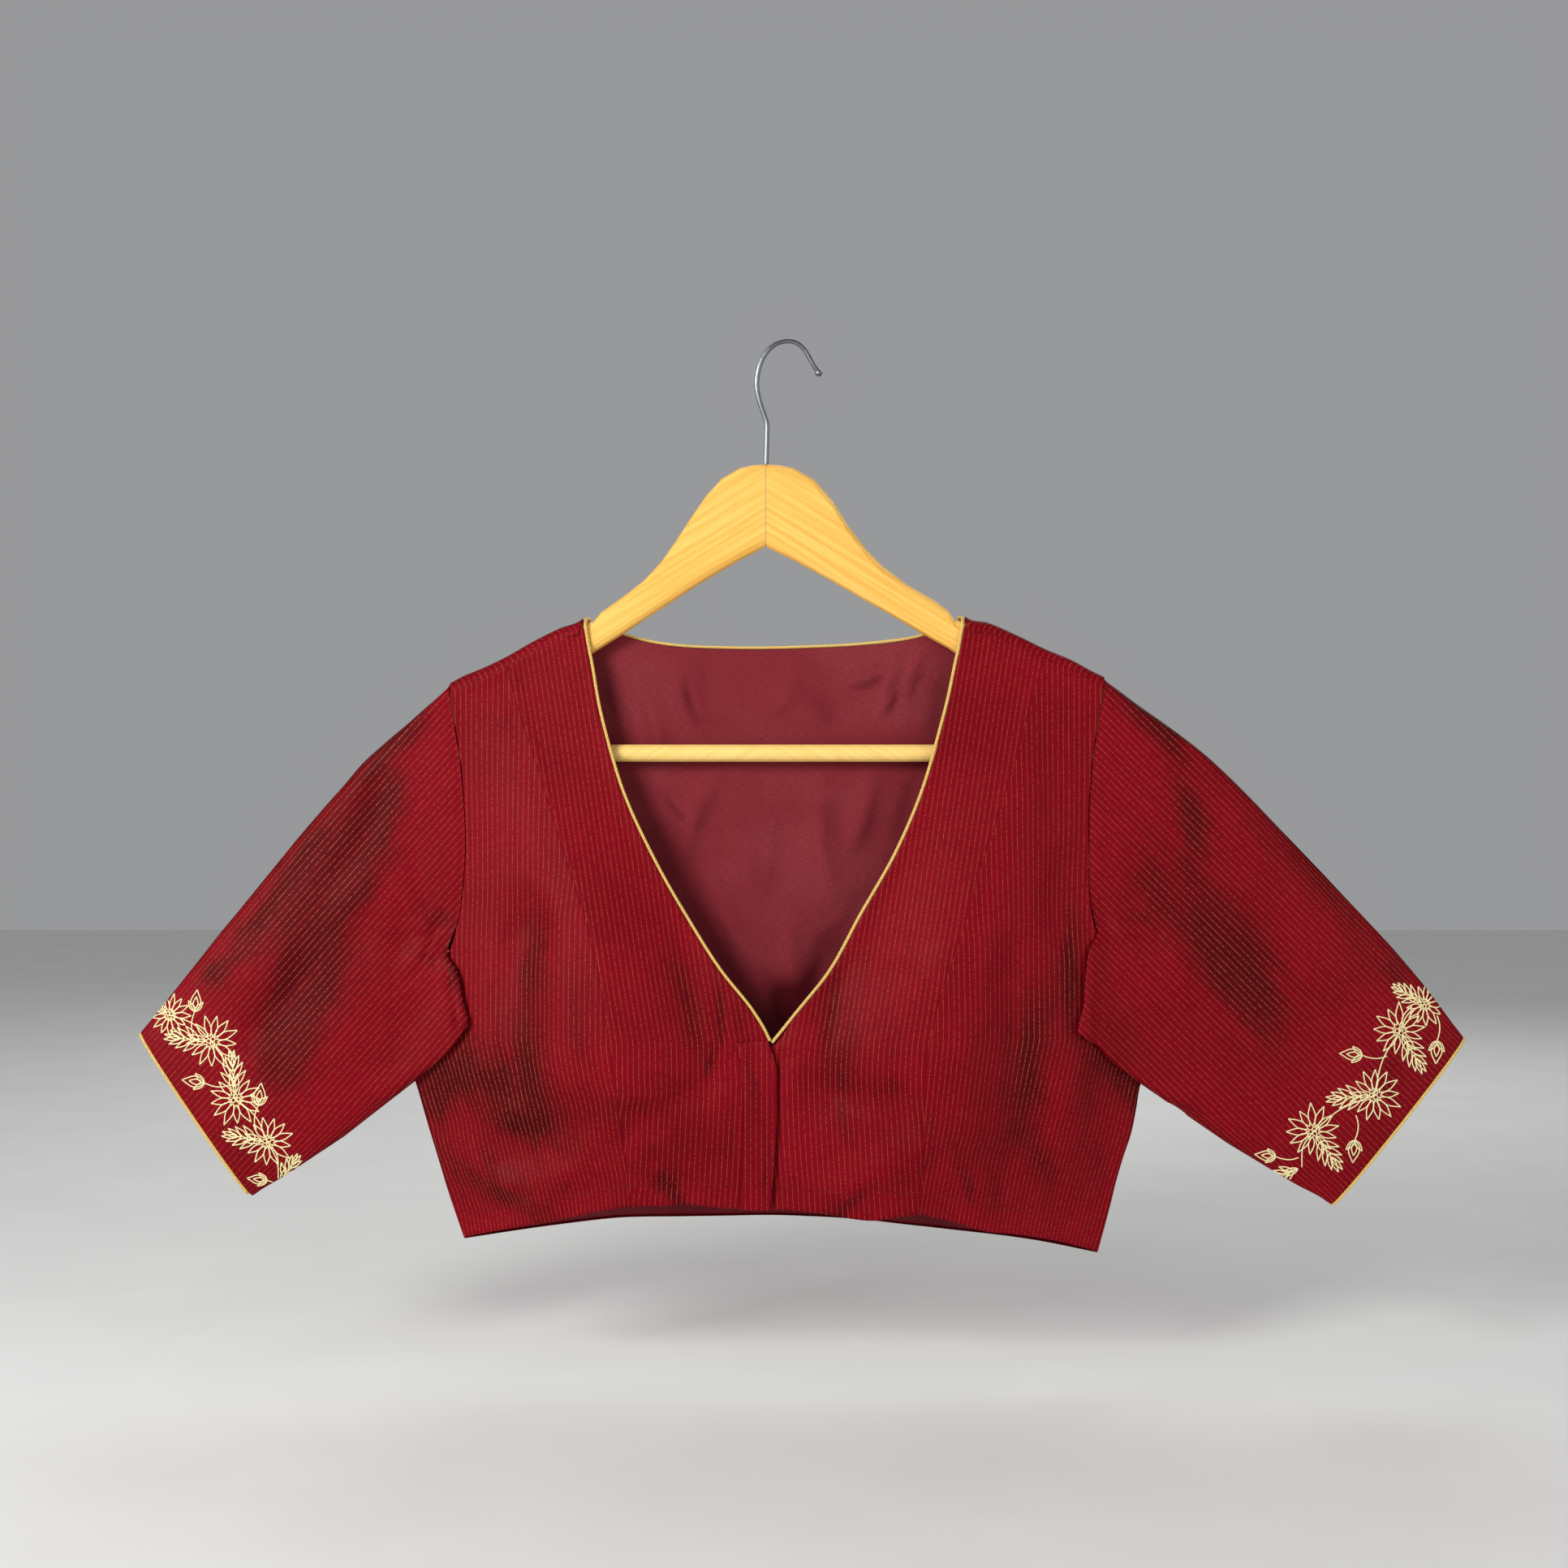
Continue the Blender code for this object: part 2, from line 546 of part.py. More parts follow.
def add_cloth(name, outer, normals, material, closed=False, left_out=None):
    """A wall of cloth: its outer face from a grid of points, its inner face moved in along the normals.

    Where closed, the columns run all round. Cells named in left_out are holes.
    """
    inner = outer - normals * WALL
    rows, columns = outer.shape[:2]
    mesh = bmesh.new()
    corners = {}

    def corner(face, row, column):
        key = (face, row, column % columns)
        if key not in corners:
            points = outer if face == "outer" else inner
            corners[key] = mesh.verts.new(points[row, column % columns])
        return corners[key]

    borders = {}
    for row in range(rows - 1):
        for column in range(columns if closed else columns - 1):
            if left_out and (row, column) in left_out:
                continue
            ring = [(row, column), (row, column + 1), (row + 1, column + 1), (row + 1, column)]
            for half_cell in (ring[:3], [ring[0], ring[2], ring[3]]):
                mesh.faces.new([corner("outer", *place) for place in half_cell])
                mesh.faces.new([corner("inner", *place) for place in reversed(half_cell)])
            for start, end in zip(ring, ring[1:] + ring[:1]):
                start = (start[0], start[1] % columns)
                end = (end[0], end[1] % columns)
                if (end, start) in borders:
                    del borders[end, start]
                else:
                    borders[start, end] = True
    for start, end in borders:
        rim = [corner("outer", *end), corner("outer", *start)]
        rim += [corner("inner", *start), corner("inner", *end)]
        mesh.faces.new(rim)
    add_object(name, mesh, material)


def add_tube(name, path, radii, sides, material, closed=False):
    """A round solid along a path, with a radius at each of its points."""
    count = len(path)
    if closed:
        tangents = unit(np.roll(path, -1, axis=0) - np.roll(path, 1, axis=0))
    else:
        tangents = unit(np.gradient(path, axis=0))
    mesh = bmesh.new()
    rings = []
    first = np.eye(3)[np.argmin(np.abs(tangents[0]))]
    for point, tangent, radius in zip(path, tangents, radii):
        first = unit(first - tangent * np.dot(first, tangent))
        second = np.cross(tangent, first)
        ring = []
        for step in range(sides):
            angle = 2 * math.pi * step / sides
            offset = first * math.cos(angle) + second * math.sin(angle)
            ring.append(mesh.verts.new(point + offset * radius))
        rings.append(ring)
    for index in range(count if closed else count - 1):
        here = rings[index]
        there = rings[(index + 1) % count]
        for step in range(sides):
            after = (step + 1) % sides
            mesh.faces.new([here[step], here[after], there[after], there[step]])
    if not closed:
        mesh.faces.new(rings[0])
        mesh.faces.new(rings[-1])
    add_object(name, mesh, material)


def spaced(points, spacing):
    """The same path with its points at even distances."""
    lengths = np.concatenate([[0], np.cumsum(np.linalg.norm(np.diff(points, axis=0), axis=1))])
    marks = np.linspace(0, lengths[-1], max(2, round(lengths[-1] / spacing) + 1))
    return np.stack([np.interp(marks, lengths, points[:, axis]) for axis in range(3)], axis=1)


def neck_x(side, drop, inset):
    """The neckline moved into the front by an inset, square to the line."""
    slope = read(NECK[side], "drop", "x", drop + 1) - read(NECK[side], "drop", "x", drop - 1)
    return read(NECK[side], "drop", "x", drop) + OUT[side] * inset * np.sqrt(1 + (slope / 2) ** 2)


def panel_neck_x(side, drop):
    """The edge of the centre panel: beside the piping, and below the V the edge of the opening."""
    piped = 1 - ramp(drop, V_RANGE)
    return neck_x(side, drop, (2 * PIPING_RADIUS + SEAM_GAP) * piped)


def princess_x(side, drop, shift):
    return read(PRINCESS[side], "drop", "x", drop) + OUT[side] * shift


def outer_princess_x(side, drop):
    return princess_x(side, drop, SEAM_GAP / 2)


def inner_princess_x(side, drop):
    return princess_x(side, drop, -SEAM_GAP / 2)


def armhole_x(side, drop):
    return read(SIDE[side], "drop", "x", drop)


def shoulder_seam(side, x):
    return read(SHOULDER[side], "x", "drop", x) + SHOULDER_STRIP + 2 * SEAM_GAP


def front_panel(name, side, outer_edge, inner_edge, outer_span, inner_span, columns, material):
    """A front panel between two edges, each with its own drops at the shoulder and at the hem."""
    across, down = np.meshgrid(columns, np.linspace(0, 1, FRONT_ROWS))
    outer_drop = mix(outer_span[0], outer_span[1], down)
    inner_drop = mix(inner_span[0], inner_span[1], down)
    x = mix(outer_edge(side, outer_drop), inner_edge(side, inner_drop), across)
    drop = mix(outer_drop, inner_drop, across)
    level_top = mix(outer_span[0], inner_span[0], across)
    level_low = mix(outer_span[1], inner_span[1], across)
    drop = drop + (shoulder_seam(side, x) - level_top) * (1 - down) ** EDGE_POWER
    drop = drop + (read(FRONT_HEM[side], "x", "drop", x) - level_low) * down**EDGE_POWER

    def depth(at_x, at_drop):
        return front_y(side, at_x, at_drop)

    points = sheet_points(x, drop, depth(x, drop))
    normals = face_normals(depth, x, drop, -1)
    add_cloth(name, points, normals, material)
    return points, normals


def build_fronts(silk):
    """The four front panels, and the raised hook band on the left one's edge."""
    for side in OUT:
        hem = FRONT_HEM[side]
        armhole_top = shoulder_seam(side, armhole_x(side, ARMHOLE_TOP))
        edge_low = read(hem, "x", "drop", armhole_x(side, SIDE_LOW))
        seam_top = shoulder_seam(side, princess_x(side, PRINCESS_TOP, 0))
        seam_low = read(hem, "x", "drop", princess_x(side, PRINCESS_LOW, 0))
        neck_top = shoulder_seam(side, panel_neck_x(side, NECK_TOP))
        neck_low = read(hem, "x", "drop", panel_neck_x(side, OPENING_LOW))
        front_panel(
            f"front_side_{side}", side, armhole_x, outer_princess_x,
            (armhole_top, edge_low), (seam_top, seam_low), SIDE_COLUMNS, silk,
        )
        points, normals = front_panel(
            f"front_centre_{side}", side, inner_princess_x, panel_neck_x,
            (seam_top, seam_low), (neck_top, neck_low), CENTRE_COLUMNS, silk,
        )
        if side == "left":
            under = (slice(BAND_TOP_ROW, None), slice(-BAND_COLUMNS, None))
            raised = points[under] + normals[under] * (WALL + SEAM_GAP)
            add_cloth("hook_band", raised, normals[under], silk)


def ridge_point(x, drop_top, angle):
    """A place on the round shoulder, from the back at 0 over the top at 90 to the front at 180."""
    turn = math.radians(angle)
    reach = RIDGE_BACK if angle <= 90 else RIDGE_FRONT
    return np.array([x, reach * math.cos(turn), -(drop_top + RIDGE_HEIGHT * (1 - math.sin(turn)))])


def build_back(silk, cotton):
    """The back in one piece, lapped over the shoulders to the seams in front, and its lining."""
    tops = [*LEFT_COLUMNS, *NECK_COLUMNS, *RIGHT_COLUMNS]
    left_top = armhole_x("left", ARMHOLE_TOP)
    right_top = armhole_x("right", ARMHOLE_TOP)
    shares = (np.array(tops) - tops[0]) / (tops[-1] - tops[0])
    heights = np.linspace(0, 1, BACK_ROWS)
    over = len(RIDGE_ANGLES)
    points = np.zeros((len(heights) + over, len(tops), 3))
    normals = np.zeros_like(points)
    for column, (top, share) in enumerate(zip(tops, shares)):
        side = "left" if top < 0 else "right"
        in_neck = top in NECK_COLUMNS
        at_edge = column in (0, len(tops) - 1)
        ridge_x = armhole_x(side, ARMHOLE_TOP) if at_edge else top
        ridge_top = read(SHOULDER[side], "x", "drop", ridge_x)
        start = ridge_top + RIDGE_HEIGHT
        if in_neck:
            start = read(BACK_NECK, "x", "drop", top) + 2 * PIPING_RADIUS + 3 * SEAM_GAP
        low_x = mix(SIDE["left"][-1].x, SIDE["right"][-1].x, share)
        low = read(BACK_HEM, "x", "drop", low_x)
        drop = mix(low, start, heights)
        x = mix(armhole_x("left", drop), armhole_x("right", drop), share)
        if not at_edge:
            x = x + (top - mix(left_top, right_top, share)) * ramp(heights, BACK_SHIFT_RANGE)
        points[: len(heights), column] = sheet_points(x, drop, back_y(x, drop))
        normals[: len(heights), column] = face_normals(back_y, x, drop, 1)
        for row, angle in enumerate(RIDGE_ANGLES):
            turn = math.radians(angle)
            place = ridge_point(top, ridge_top, angle)
            if at_edge:
                place[0] = armhole_x(side, -place[2])
            points[len(heights) + row, column] = place
            normals[len(heights) + row, column] = (0, math.cos(turn), math.sin(turn))
    first_hole = len(LEFT_COLUMNS) - 1
    open_columns = range(first_hole, first_hole + len(NECK_COLUMNS) + 1)
    holes = {(row, c) for c in open_columns for row in range(len(heights) - 1, len(points) - 1)}
    add_cloth("back", points, normals, silk, left_out=holes)
    lined = (slice(0, len(heights)), slice(1, -1))
    lining = points[lined] - normals[lined] * (WALL + SEAM_GAP)
    lining[0] = mix(lining[0], lining[1], LINING_HEM_SHARE)
    add_cloth("back_lining", lining, normals[lined], cotton)


def sleeve_cover(side, half, x, drop):
    """The body's face that a sleeve's lobe lies over."""
    if half == "front":
        return front_y(side, x, drop)
    return back_y(x, drop)


def place_at(rows, along):
    """Where a station's line is at a share of the sleeve's length: across, and its drop."""
    return np.array([read(rows, "along", column, along) for column in ("x", "drop")])


def sleeve_end(side, to_low):
    """The sleeve's end beside the body: its drops, how it bows in, its turned share, its slant."""
    top = place_at(SLEEVE_TOP[side], 1.0)
    low = place_at(SLEEVE_LOW[side], 1.0)
    drop = mix(top[1], low[1], to_low)
    bow = read(FOLD_EDGE[side], "drop", "x", drop) - mix(top[0], low[0], to_low)
    turned = smooth((drop - FOLD_START[side]) / FOLD_EASE)
    beyond = read(SHOULDER[side], "x", "drop", top[0] + OUT[side] * END_SETBACK)
    slope = (beyond - read(SHOULDER[side], "x", "drop", top[0])) / END_SETBACK
    slant = slope * (1 - smooth((drop - top[1]) / RIDGE_FADE))
    return drop, bow, turned, slant


def lobe_face(side, half, x, drop, top_drop):
    """The depth of the sleeve's face near the body: round at the top, over the body lower down."""
    forward = -1.0 if half == "front" else 1.0
    ridge = RIDGE_FRONT if half == "front" else RIDGE_BACK
    edge_column = "y" if half == "front" else "back"
    fall = np.abs(drop - top_drop)
    round_top = np.sqrt(1 - np.clip(1 - fall / RIDGE_HEIGHT, 0, 1) ** 2)
    edge = np.abs(read(SIDE[side], "drop", edge_column, np.minimum(drop, FOLD_START[side])))
    above = mix(ridge, edge, smooth(fall / RIDGE_FADE)) * round_top
    cover = np.maximum(0, forward * sleeve_cover(side, half, x, drop))
    over_body = cover + LOBE_THICKNESS * smooth((drop - FOLD_START[side] + LOBE_LEAD) / LOBE_EASE)
    return forward * np.maximum(above, over_body * (drop > LOBE_TOP))


def sleeve_ring(side, half, along, end):
    """One line round half of a sleeve, from its top fold to the underarm."""
    forward = -1.0 if half == "front" else 1.0
    bow, turned, slant = end
    shares = np.array(AROUND)
    to_low = np.clip(shares / AROUND[LOW_LINE], 0, 1)
    top = place_at(SLEEVE_TOP[side], along)
    low = place_at(SLEEVE_LOW[side], along)
    seam = place_at(UNDERARM[side], max(along, UNDERARM_START))
    lobe_share = ramp(along, LOBE_RANGE)

    lobe = mix(top, low, to_low[:, None])
    setback = END_SETBACK * (1 - turned) * ramp(along, SETBACK_RANGE)
    lobe[:, 0] += bow * ramp(along, BOW_RANGE) + OUT[side] * setback
    lobe[:, 1] += slant * setback
    lobe_y = lobe_face(side, half, lobe[:, 0], lobe[:, 1], top[1])

    tube = mix(top, low, shares[:, None])
    off_middle = np.abs(2 * shares - 1)
    deep = read(SLEEVE_DEPTH, "along", half, along)
    tube_y = forward * deep * np.sqrt(1 - off_middle**TUBE_POWER)
    push = fold_push(SLEEVE_FOLDS[side], lobe[:, 0], lobe[:, 1]) * np.sin(np.pi * to_low)
    if half == "back":
        push = BACK_CREASE_SHARE * push
    tube_y = tube_y - forward * push * np.sqrt(np.clip(1 - off_middle**CREASE_POWER, 0, 1))

    y = mix(tube_y, lobe_y, ramp(along, BODY_RANGE))
    y = np.where(shares > HIDDEN_SHARE, mix(y, lobe_y, lobe_share), y)
    place = mix(tube, lobe, lobe_share)
    downward = (low - top) / np.linalg.norm(low - top)
    for step, line in enumerate(HIDDEN):
        index = LOW_LINE + 1 + step
        spot = mix(low, seam, line.to_seam) + downward * line.past_edge
        near = forward * sleeve_cover(side, half, spot[0], spot[1]) + LOBE_CLEARANCE
        edge = forward * lobe_y[LOW_LINE]
        depth = near * line.to_body if line.to_seam > 0 else mix(edge, near, line.to_body)
        place[index] = mix(tube[index], spot, lobe_share)
        y[index] = mix(tube_y[index], forward * depth, lobe_share)
    return np.stack([place[:, 0], y, -place[:, 1]], axis=-1)


def armhole_line(side, half, armhole_drop):
    """The seam that the sleeve's hidden lines reach, round the armhole to the underarm."""
    forward = -1.0 if half == "front" else 1.0
    below = np.arange(len(AROUND)) - LAST_ON_ARMHOLE
    share = np.clip(below / below[-1], 0, 1)
    drop = mix(armhole_drop, UNDERARM_DROP, share)
    x = read(SIDE[side], "drop", "x", drop)
    x = x + OUT[side] * (SEAM_TURN_OUT * ramp(share, SEAM_TURN_RANGE) - SEAM_TUCK * (1 - share))
    clearance = np.where(share > 0, HIDDEN_SEAM_CLEARANCE, SEAM_CLEARANCE)
    y = (sleeve_cover(side, half, x, drop) + forward * clearance) * (share < 1)
    return np.stack([x, y, -drop], axis=-1)


def sleeve_half(side, half):
    """One half of a sleeve's outer face: its lines round, then its end turned in to the seam."""
    forward = -1.0 if half == "front" else 1.0
    out = OUT[side]
    to_low = np.clip(np.array(AROUND) / AROUND[LOW_LINE], 0, 1)
    end_drop, bow, turned, slant = sleeve_end(side, to_low)
    rings = [sleeve_ring(side, half, along, (bow, turned, slant)) for along in RINGS]
    fold = rings[-1]
    seam_line = armhole_line(side, half, end_drop[LAST_ON_ARMHOLE])
    under_y = sleeve_cover(side, half, fold[:, 0], -fold[:, 2]) + forward * LOBE_CLEARANCE
    radius = np.abs(fold[:, 1] - under_y) / 2
    on_fold = np.arange(len(AROUND)) <= LOW_LINE
    above_lobe = 1 - smooth((end_drop - FOLD_START[side]) / SINK_FADE + 1)
    for step in TURNS:
        moved = END_SETBACK - step.short
        flat = fold + np.stack([-out * moved + 0 * slant, 0 * slant, moved * slant], axis=-1)
        flat[:, 1] *= 1 - step.sink * above_lobe
        angle = math.radians(step.angle)
        turning = fold.copy()
        turning[:, 0] -= out * radius * math.sin(angle)
        turning[:, 1] = mix(fold[:, 1], under_y, (1 - math.cos(angle)) / 2)
        hidden = mix(fold, seam_line, step.to_seam)
        if step.to_seam < 1:
            hidden = np.where(on_fold[:, None], turning, hidden)
        rings.append(mix(flat, hidden, turned[:, None]))
    return np.array(rings)


def build_sleeves(silk, piping):
    for side in OUT:
        front = sleeve_half(side, "front")
        back = sleeve_half(side, "back")
        around = np.concatenate([front, back[:, -2:0:-1]], axis=1)
        around[:, 0, 1] = 0
        normals = grid_normals(around, closed=True) * OUT[side]
        add_cloth(f"sleeve_{side}", around, normals, silk, closed=True)

        cuff = around[0] - normals[0] * WALL / 2
        away = unit(around[0] - around[1])
        cord = cuff + away * (PIPING_RADIUS + CUFF_PIPING_GAP)
        loop = spaced(np.concatenate([cord, cord[:1]]), CUFF_PIPING_STEP)[:-1]
        radii = [PIPING_RADIUS] * len(loop)
        add_tube(f"cuff_piping_{side}", loop, radii, PIPING_SIDES, piping, closed=True)


def build_neck_piping(piping):
    """Corded piping: one on each front edge, from the shoulder's top to the V, and one behind."""
    paths = {}
    for side in OUT:
        top = NECK[side][0].drop
        drops = np.linspace(top + NECK_PIPING_START, NECK_PIPING_END[side], 60)
        x = neck_x(side, drops, PIPING_RADIUS)
        front = sheet_points(x, drops, front_y(side, x, drops) + WALL / 2)
        over = [ridge_point(x[0], top + PIPING_RADIUS, angle) for angle in NECK_PIPING_ANGLES]
        paths[side] = np.concatenate([over, front])
    x = np.linspace(BACK_NECK[0].x + BACK_PIPING_INSET, BACK_NECK[-1].x - BACK_PIPING_INSET, 50)
    drop = read(BACK_NECK, "x", "drop", x) + PIPING_RADIUS
    behind = sheet_points(x, drop, back_y(x, drop) - WALL / 2)
    ends = []
    for end, step in ((0, -PIPING_RADIUS), (-1, PIPING_RADIUS)):
        above = drop[end] - PIPING_RADIUS - WALL / 2
        ends.append([ridge_point(x[end] + step, above, angle) for angle in BACK_PIPING_ANGLES])
    paths["back"] = np.concatenate([ends[0][::-1], behind, ends[1]])
    for place, points in paths.items():
        path = spaced(points, PIPING_STEP)
        radii = [PIPING_RADIUS] * len(path)
        add_tube(f"neck_piping_{place}", path, radii, PIPING_SIDES, piping)


def build_hanger(wood, steel):
    for side in OUT:
        mesh = bmesh.new()
        rings = []
        for arm in ARMS[side]:
            edges = {"top": arm.top, "low": arm.low}
            ring = []
            for sign, rims in ((-1, ARM_SECTION), (1, ARM_SECTION[::-1])):
                for rim in rims:
                    depth = rim.deep if rim.edge == "top" else -rim.deep
                    place = (arm.x, sign * rim.out * ARM_HALF_THICKNESS, -(edges[rim.edge] + depth))
                    ring.append(mesh.verts.new(place))
            rings.append(ring)
        for here, there in zip(rings, rings[1:]):
            for step in range(len(here)):
                after = (step + 1) % len(here)
                mesh.faces.new([here[step], here[after], there[after], there[step]])
        mesh.faces.new(rings[0])
        mesh.faces.new(rings[-1])
        add_object(f"hanger_arm_{side}", mesh, wood)

    bar = np.array([[BAR_LEFT_END, 0, -BAR_DROP], [BAR_RIGHT_END, 0, -BAR_DROP]])
    add_tube("hanger_bar", bar, [BAR_RADIUS] * 2, BAR_SIDES, wood)

    stations = [Station(mark, row.x, row.drop) for mark, row in enumerate(HOOK)]
    fine = np.linspace(0, len(HOOK) - 1, WIRE_POINTS)
    x = read(stations, "along", "x", fine)
    drop = read(stations, "along", "drop", fine)
    wire = sheet_points(x, drop, 0)
    heading = unit(wire[-1] - wire[-2])
    centre = np.array([HOOK_BALL.x, 0.0, -HOOK_BALL.drop])
    path = list(wire[:-1])
    radii = [WIRE_RADIUS] * len(path)
    for angle in BALL_ANGLES:
        turn = math.radians(angle)
        path.append(centre + heading * BALL_RADIUS * math.cos(turn))
        radii.append(BALL_RADIUS * math.sin(turn))
    add_tube("hanger_hook", np.array(path), radii, WIRE_SIDES, steel)


def build():
    for old in list(bpy.data.objects):
        bpy.data.objects.remove(old)
    silk = make_material("maroon_silk", (158, 24, 42), 0.55)
    cotton = make_material("maroon_cotton", (122, 48, 54), 0.9)
    piping = make_material("gold_cord", (206, 168, 84), 0.45, 0.4)
    wood = make_material("pale_wood", (236, 203, 118), 0.5)
    steel = make_material("steel", (176, 176, 178), 0.3, 1.0)
    build_fronts(silk)
    build_back(silk, cotton)
    build_sleeves(silk, piping)
    build_neck_piping(piping)
    build_hanger(wood, steel)


build()
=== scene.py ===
import heapq
import math
from collections import Counter, namedtuple
from itertools import groupby

import bmesh
import bpy
import numpy as np
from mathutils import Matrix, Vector, noise
from mathutils.bvhtree import BVHTree


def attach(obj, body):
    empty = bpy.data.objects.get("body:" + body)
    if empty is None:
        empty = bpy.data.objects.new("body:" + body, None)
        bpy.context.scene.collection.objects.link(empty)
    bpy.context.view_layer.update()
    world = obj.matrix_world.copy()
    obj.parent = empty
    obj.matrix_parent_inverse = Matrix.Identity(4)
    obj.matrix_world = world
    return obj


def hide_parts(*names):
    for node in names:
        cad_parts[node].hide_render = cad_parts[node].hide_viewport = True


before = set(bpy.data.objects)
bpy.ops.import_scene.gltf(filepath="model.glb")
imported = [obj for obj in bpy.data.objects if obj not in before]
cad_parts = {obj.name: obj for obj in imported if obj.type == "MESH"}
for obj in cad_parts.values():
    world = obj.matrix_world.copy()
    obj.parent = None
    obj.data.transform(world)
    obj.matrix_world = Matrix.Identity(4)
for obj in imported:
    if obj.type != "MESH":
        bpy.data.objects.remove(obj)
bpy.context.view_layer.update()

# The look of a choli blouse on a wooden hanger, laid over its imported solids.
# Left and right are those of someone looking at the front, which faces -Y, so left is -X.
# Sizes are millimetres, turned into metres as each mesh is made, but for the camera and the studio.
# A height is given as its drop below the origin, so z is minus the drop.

MM = 0.001
TINY = 1e-9

# Which way along x is out from the middle
OUT = {"left": -1.0, "right": 1.0}

# Finding a solid's grid or rings in its mesh
MERGE = 0.01
WALL = 1.0
WALL_SLACK = 0.0005
FEW_AT_EDGE = 0.25
STRAY = 25.0
MOST_EMPTY = 6
RING_EDGE = 1.6

# Cloth shells
CLOTH_STEP = 2.2
MOST_SLOPE = 1.25
SHELL = 0.9
ROLL_OUT = 0.2
ROLL_IN = 0.15
CUFF_OUT = 0.35
NECK_REACH = 0.9
EDGE_POINTS = 4
EDGE_DEPTH = 5.0
FACE_SHARPNESS = 2

# Where a sleeve's grid is smoothed: its underarm corner and the lower edge beside it
Easing = namedtuple("Easing", "x z reach rounds along_sleeve")
EASINGS = {
    "left": [Easing(-179, -398, 9, 12, False), Easing(-222, -432, 26, 60, True)],
    "right": [Easing(178, -405, 9, 12, False), Easing(229, -435, 26, 60, True)],
}
# A sleeve's lower edge, from the cuff to the underarm corner, and how far it is pulled there
LOWER_EDGES = {
    "left": [(-305, -493.5), (-253, -459), (-212, -427), (-179, -399.5)],
    "right": [(318, -498.5), (259, -463), (208, -428), (178, -405.5)],
}
EDGE_PULL = 2.5
EDGE_PULL_REACH = 16.0
EDGE_PULL_FADE = (6.0, 26.0)

# Unevenness: its depth, and the share, size and seed of each wave
UNEVEN = 0.8
UNEVEN_WAVES = [(0.65, 42.0, 0.0), (0.35, 17.0, 3.0)]
LINING_UNEVEN = -2

# How a crease or a stroke of painted shade tapers, and how ragged the strokes of painted shade are
TAPER_START = 0.1
TAPER_SPAN = 0.8
TAPER_POWER = 1.2
SHADE_RAG = 3.5
SHADE_RAG_DROP = 1.5
SHADE_RAG_SIZE = 17.0
SHADE_RAG_SEED = 7.0

# Painted shade: how dark the cloth is painted where it slopes away from the front, and how far streaks break
# that up
SHADE_FRONT = 0.97
SHADE_UP = 0.24
SLOPE_SHADE = 0.45
SHADE_SPAN = (0.02, 1.3)
SILK_RANGE = (0.05, 0.3)
SILK_STREAKS = 0.9
LINING_RANGE = (0.035, 0.15)
LINING_STREAKS = 0.4

# Where the hanger's arms meet, and how steeply their grain falls away from there
ARMS_MEET = -8.5
ARM_SLOPE = 0.62

# Gold pinstripes, and how they slant on the front's side and centre panels
STRIPE_PITCH = 3.1
STRIPE_WIDTH = 0.44
STRIPE_SOFT = 0.09
SIDE_LEAN = 0.32
SIDE_LEAN_INNER = 0.3
SIDE_LEAN_START = 400.0
CENTRE_TILT = 0.158
CENTRE_TILT_END = 440.0
CENTRE_TILT_EASE = 40.0
CENTRE_TILT_POWER = 1.2

# Piping: a cord of twisted strands
CORD_STEP = 0.8
CORD_PITCH = 5.0
CORD_STRANDS = 3
CORD_SIDES = 7
CORD_OFFSET = 0.48
CORD_STRAND_RADIUS = 0.54
CORD_TUCK = 13.5
CORD_TUCK_DEPTH = 1.0

# Embroidery
THREAD_STEP = 0.8
THREAD_RADIUS = 0.38
THREAD_SIDES = 5
THREAD_BEAD = 0.22
BEAD_LENGTH = 1.6
THREAD_RAISE = 0.2
SHORTEST_RUN = 4
MOTIF_SCALE = 1.2
LEAF_POINTS = 9
LEAF_FULLNESS = 0.8
LEAF_POINTEDNESS = 1.2
LOBES = (0, 120, 240)
LOBE_OUT = 1.3
LOBE_RADIUS = 1.1
VINE_BOW = (2.5, 2.0)
RAY_START = 60

# Machine stitches
STITCH_LENGTH = 2.4
STITCH_GAP = 1.2
STITCH_STEP = 0.6
STITCH_RADIUS = 0.2
STITCH_RAISE = 0.1

# Camera: where it stands, in metres, and its lens on a 36 mm square frame
CAMERA_PLACE = (0.0019, -1.3, -0.2547)
CAMERA_LENS = 51.5
CAMERA_FRAME = 36.0

# The studio, in metres, with each light's place, size and power
FLOOR_DROP = 0.6
FLOOR_SIZE = 8
STUDIO_COLOUR = (0.92, 0.93, 0.95, 1)
STUDIO_LIGHT = 0.34
LIGHT_AIM = Vector((0, 0, -0.3))
LIGHTS = {
    "key": ((-1.1, -1.4, 0.4), 0.7, 32),
    "fill": ((1.3, -1.4, 0.0), 1.2, 8),
    "back": ((0.3, 1.4, 0.8), 1.4, 10),
}


def smooth(share):
    """0 at 0 and below, 1 at 1 and above, with a soft start and end."""
    share = np.clip(share, 0.0, 1.0)
    return share * share * (3 - 2 * share)


def ramp(value, start, end):
    return smooth((value - start) / (end - start))


def unit(vectors):
    return vectors / np.maximum(np.linalg.norm(vectors, axis=-1, keepdims=True), TINY)


def joined_mesh(name):
    """A solid's mesh in millimetres, its faces joined at their corners."""
    mesh = bmesh.new()
    mesh.from_mesh(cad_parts[name].data)
    bmesh.ops.scale(mesh, vec=(1 / MM, 1 / MM, 1 / MM), verts=mesh.verts[:])
    bmesh.ops.remove_doubles(mesh, verts=mesh.verts[:], dist=MERGE)
    mesh.normal_update()
    return mesh


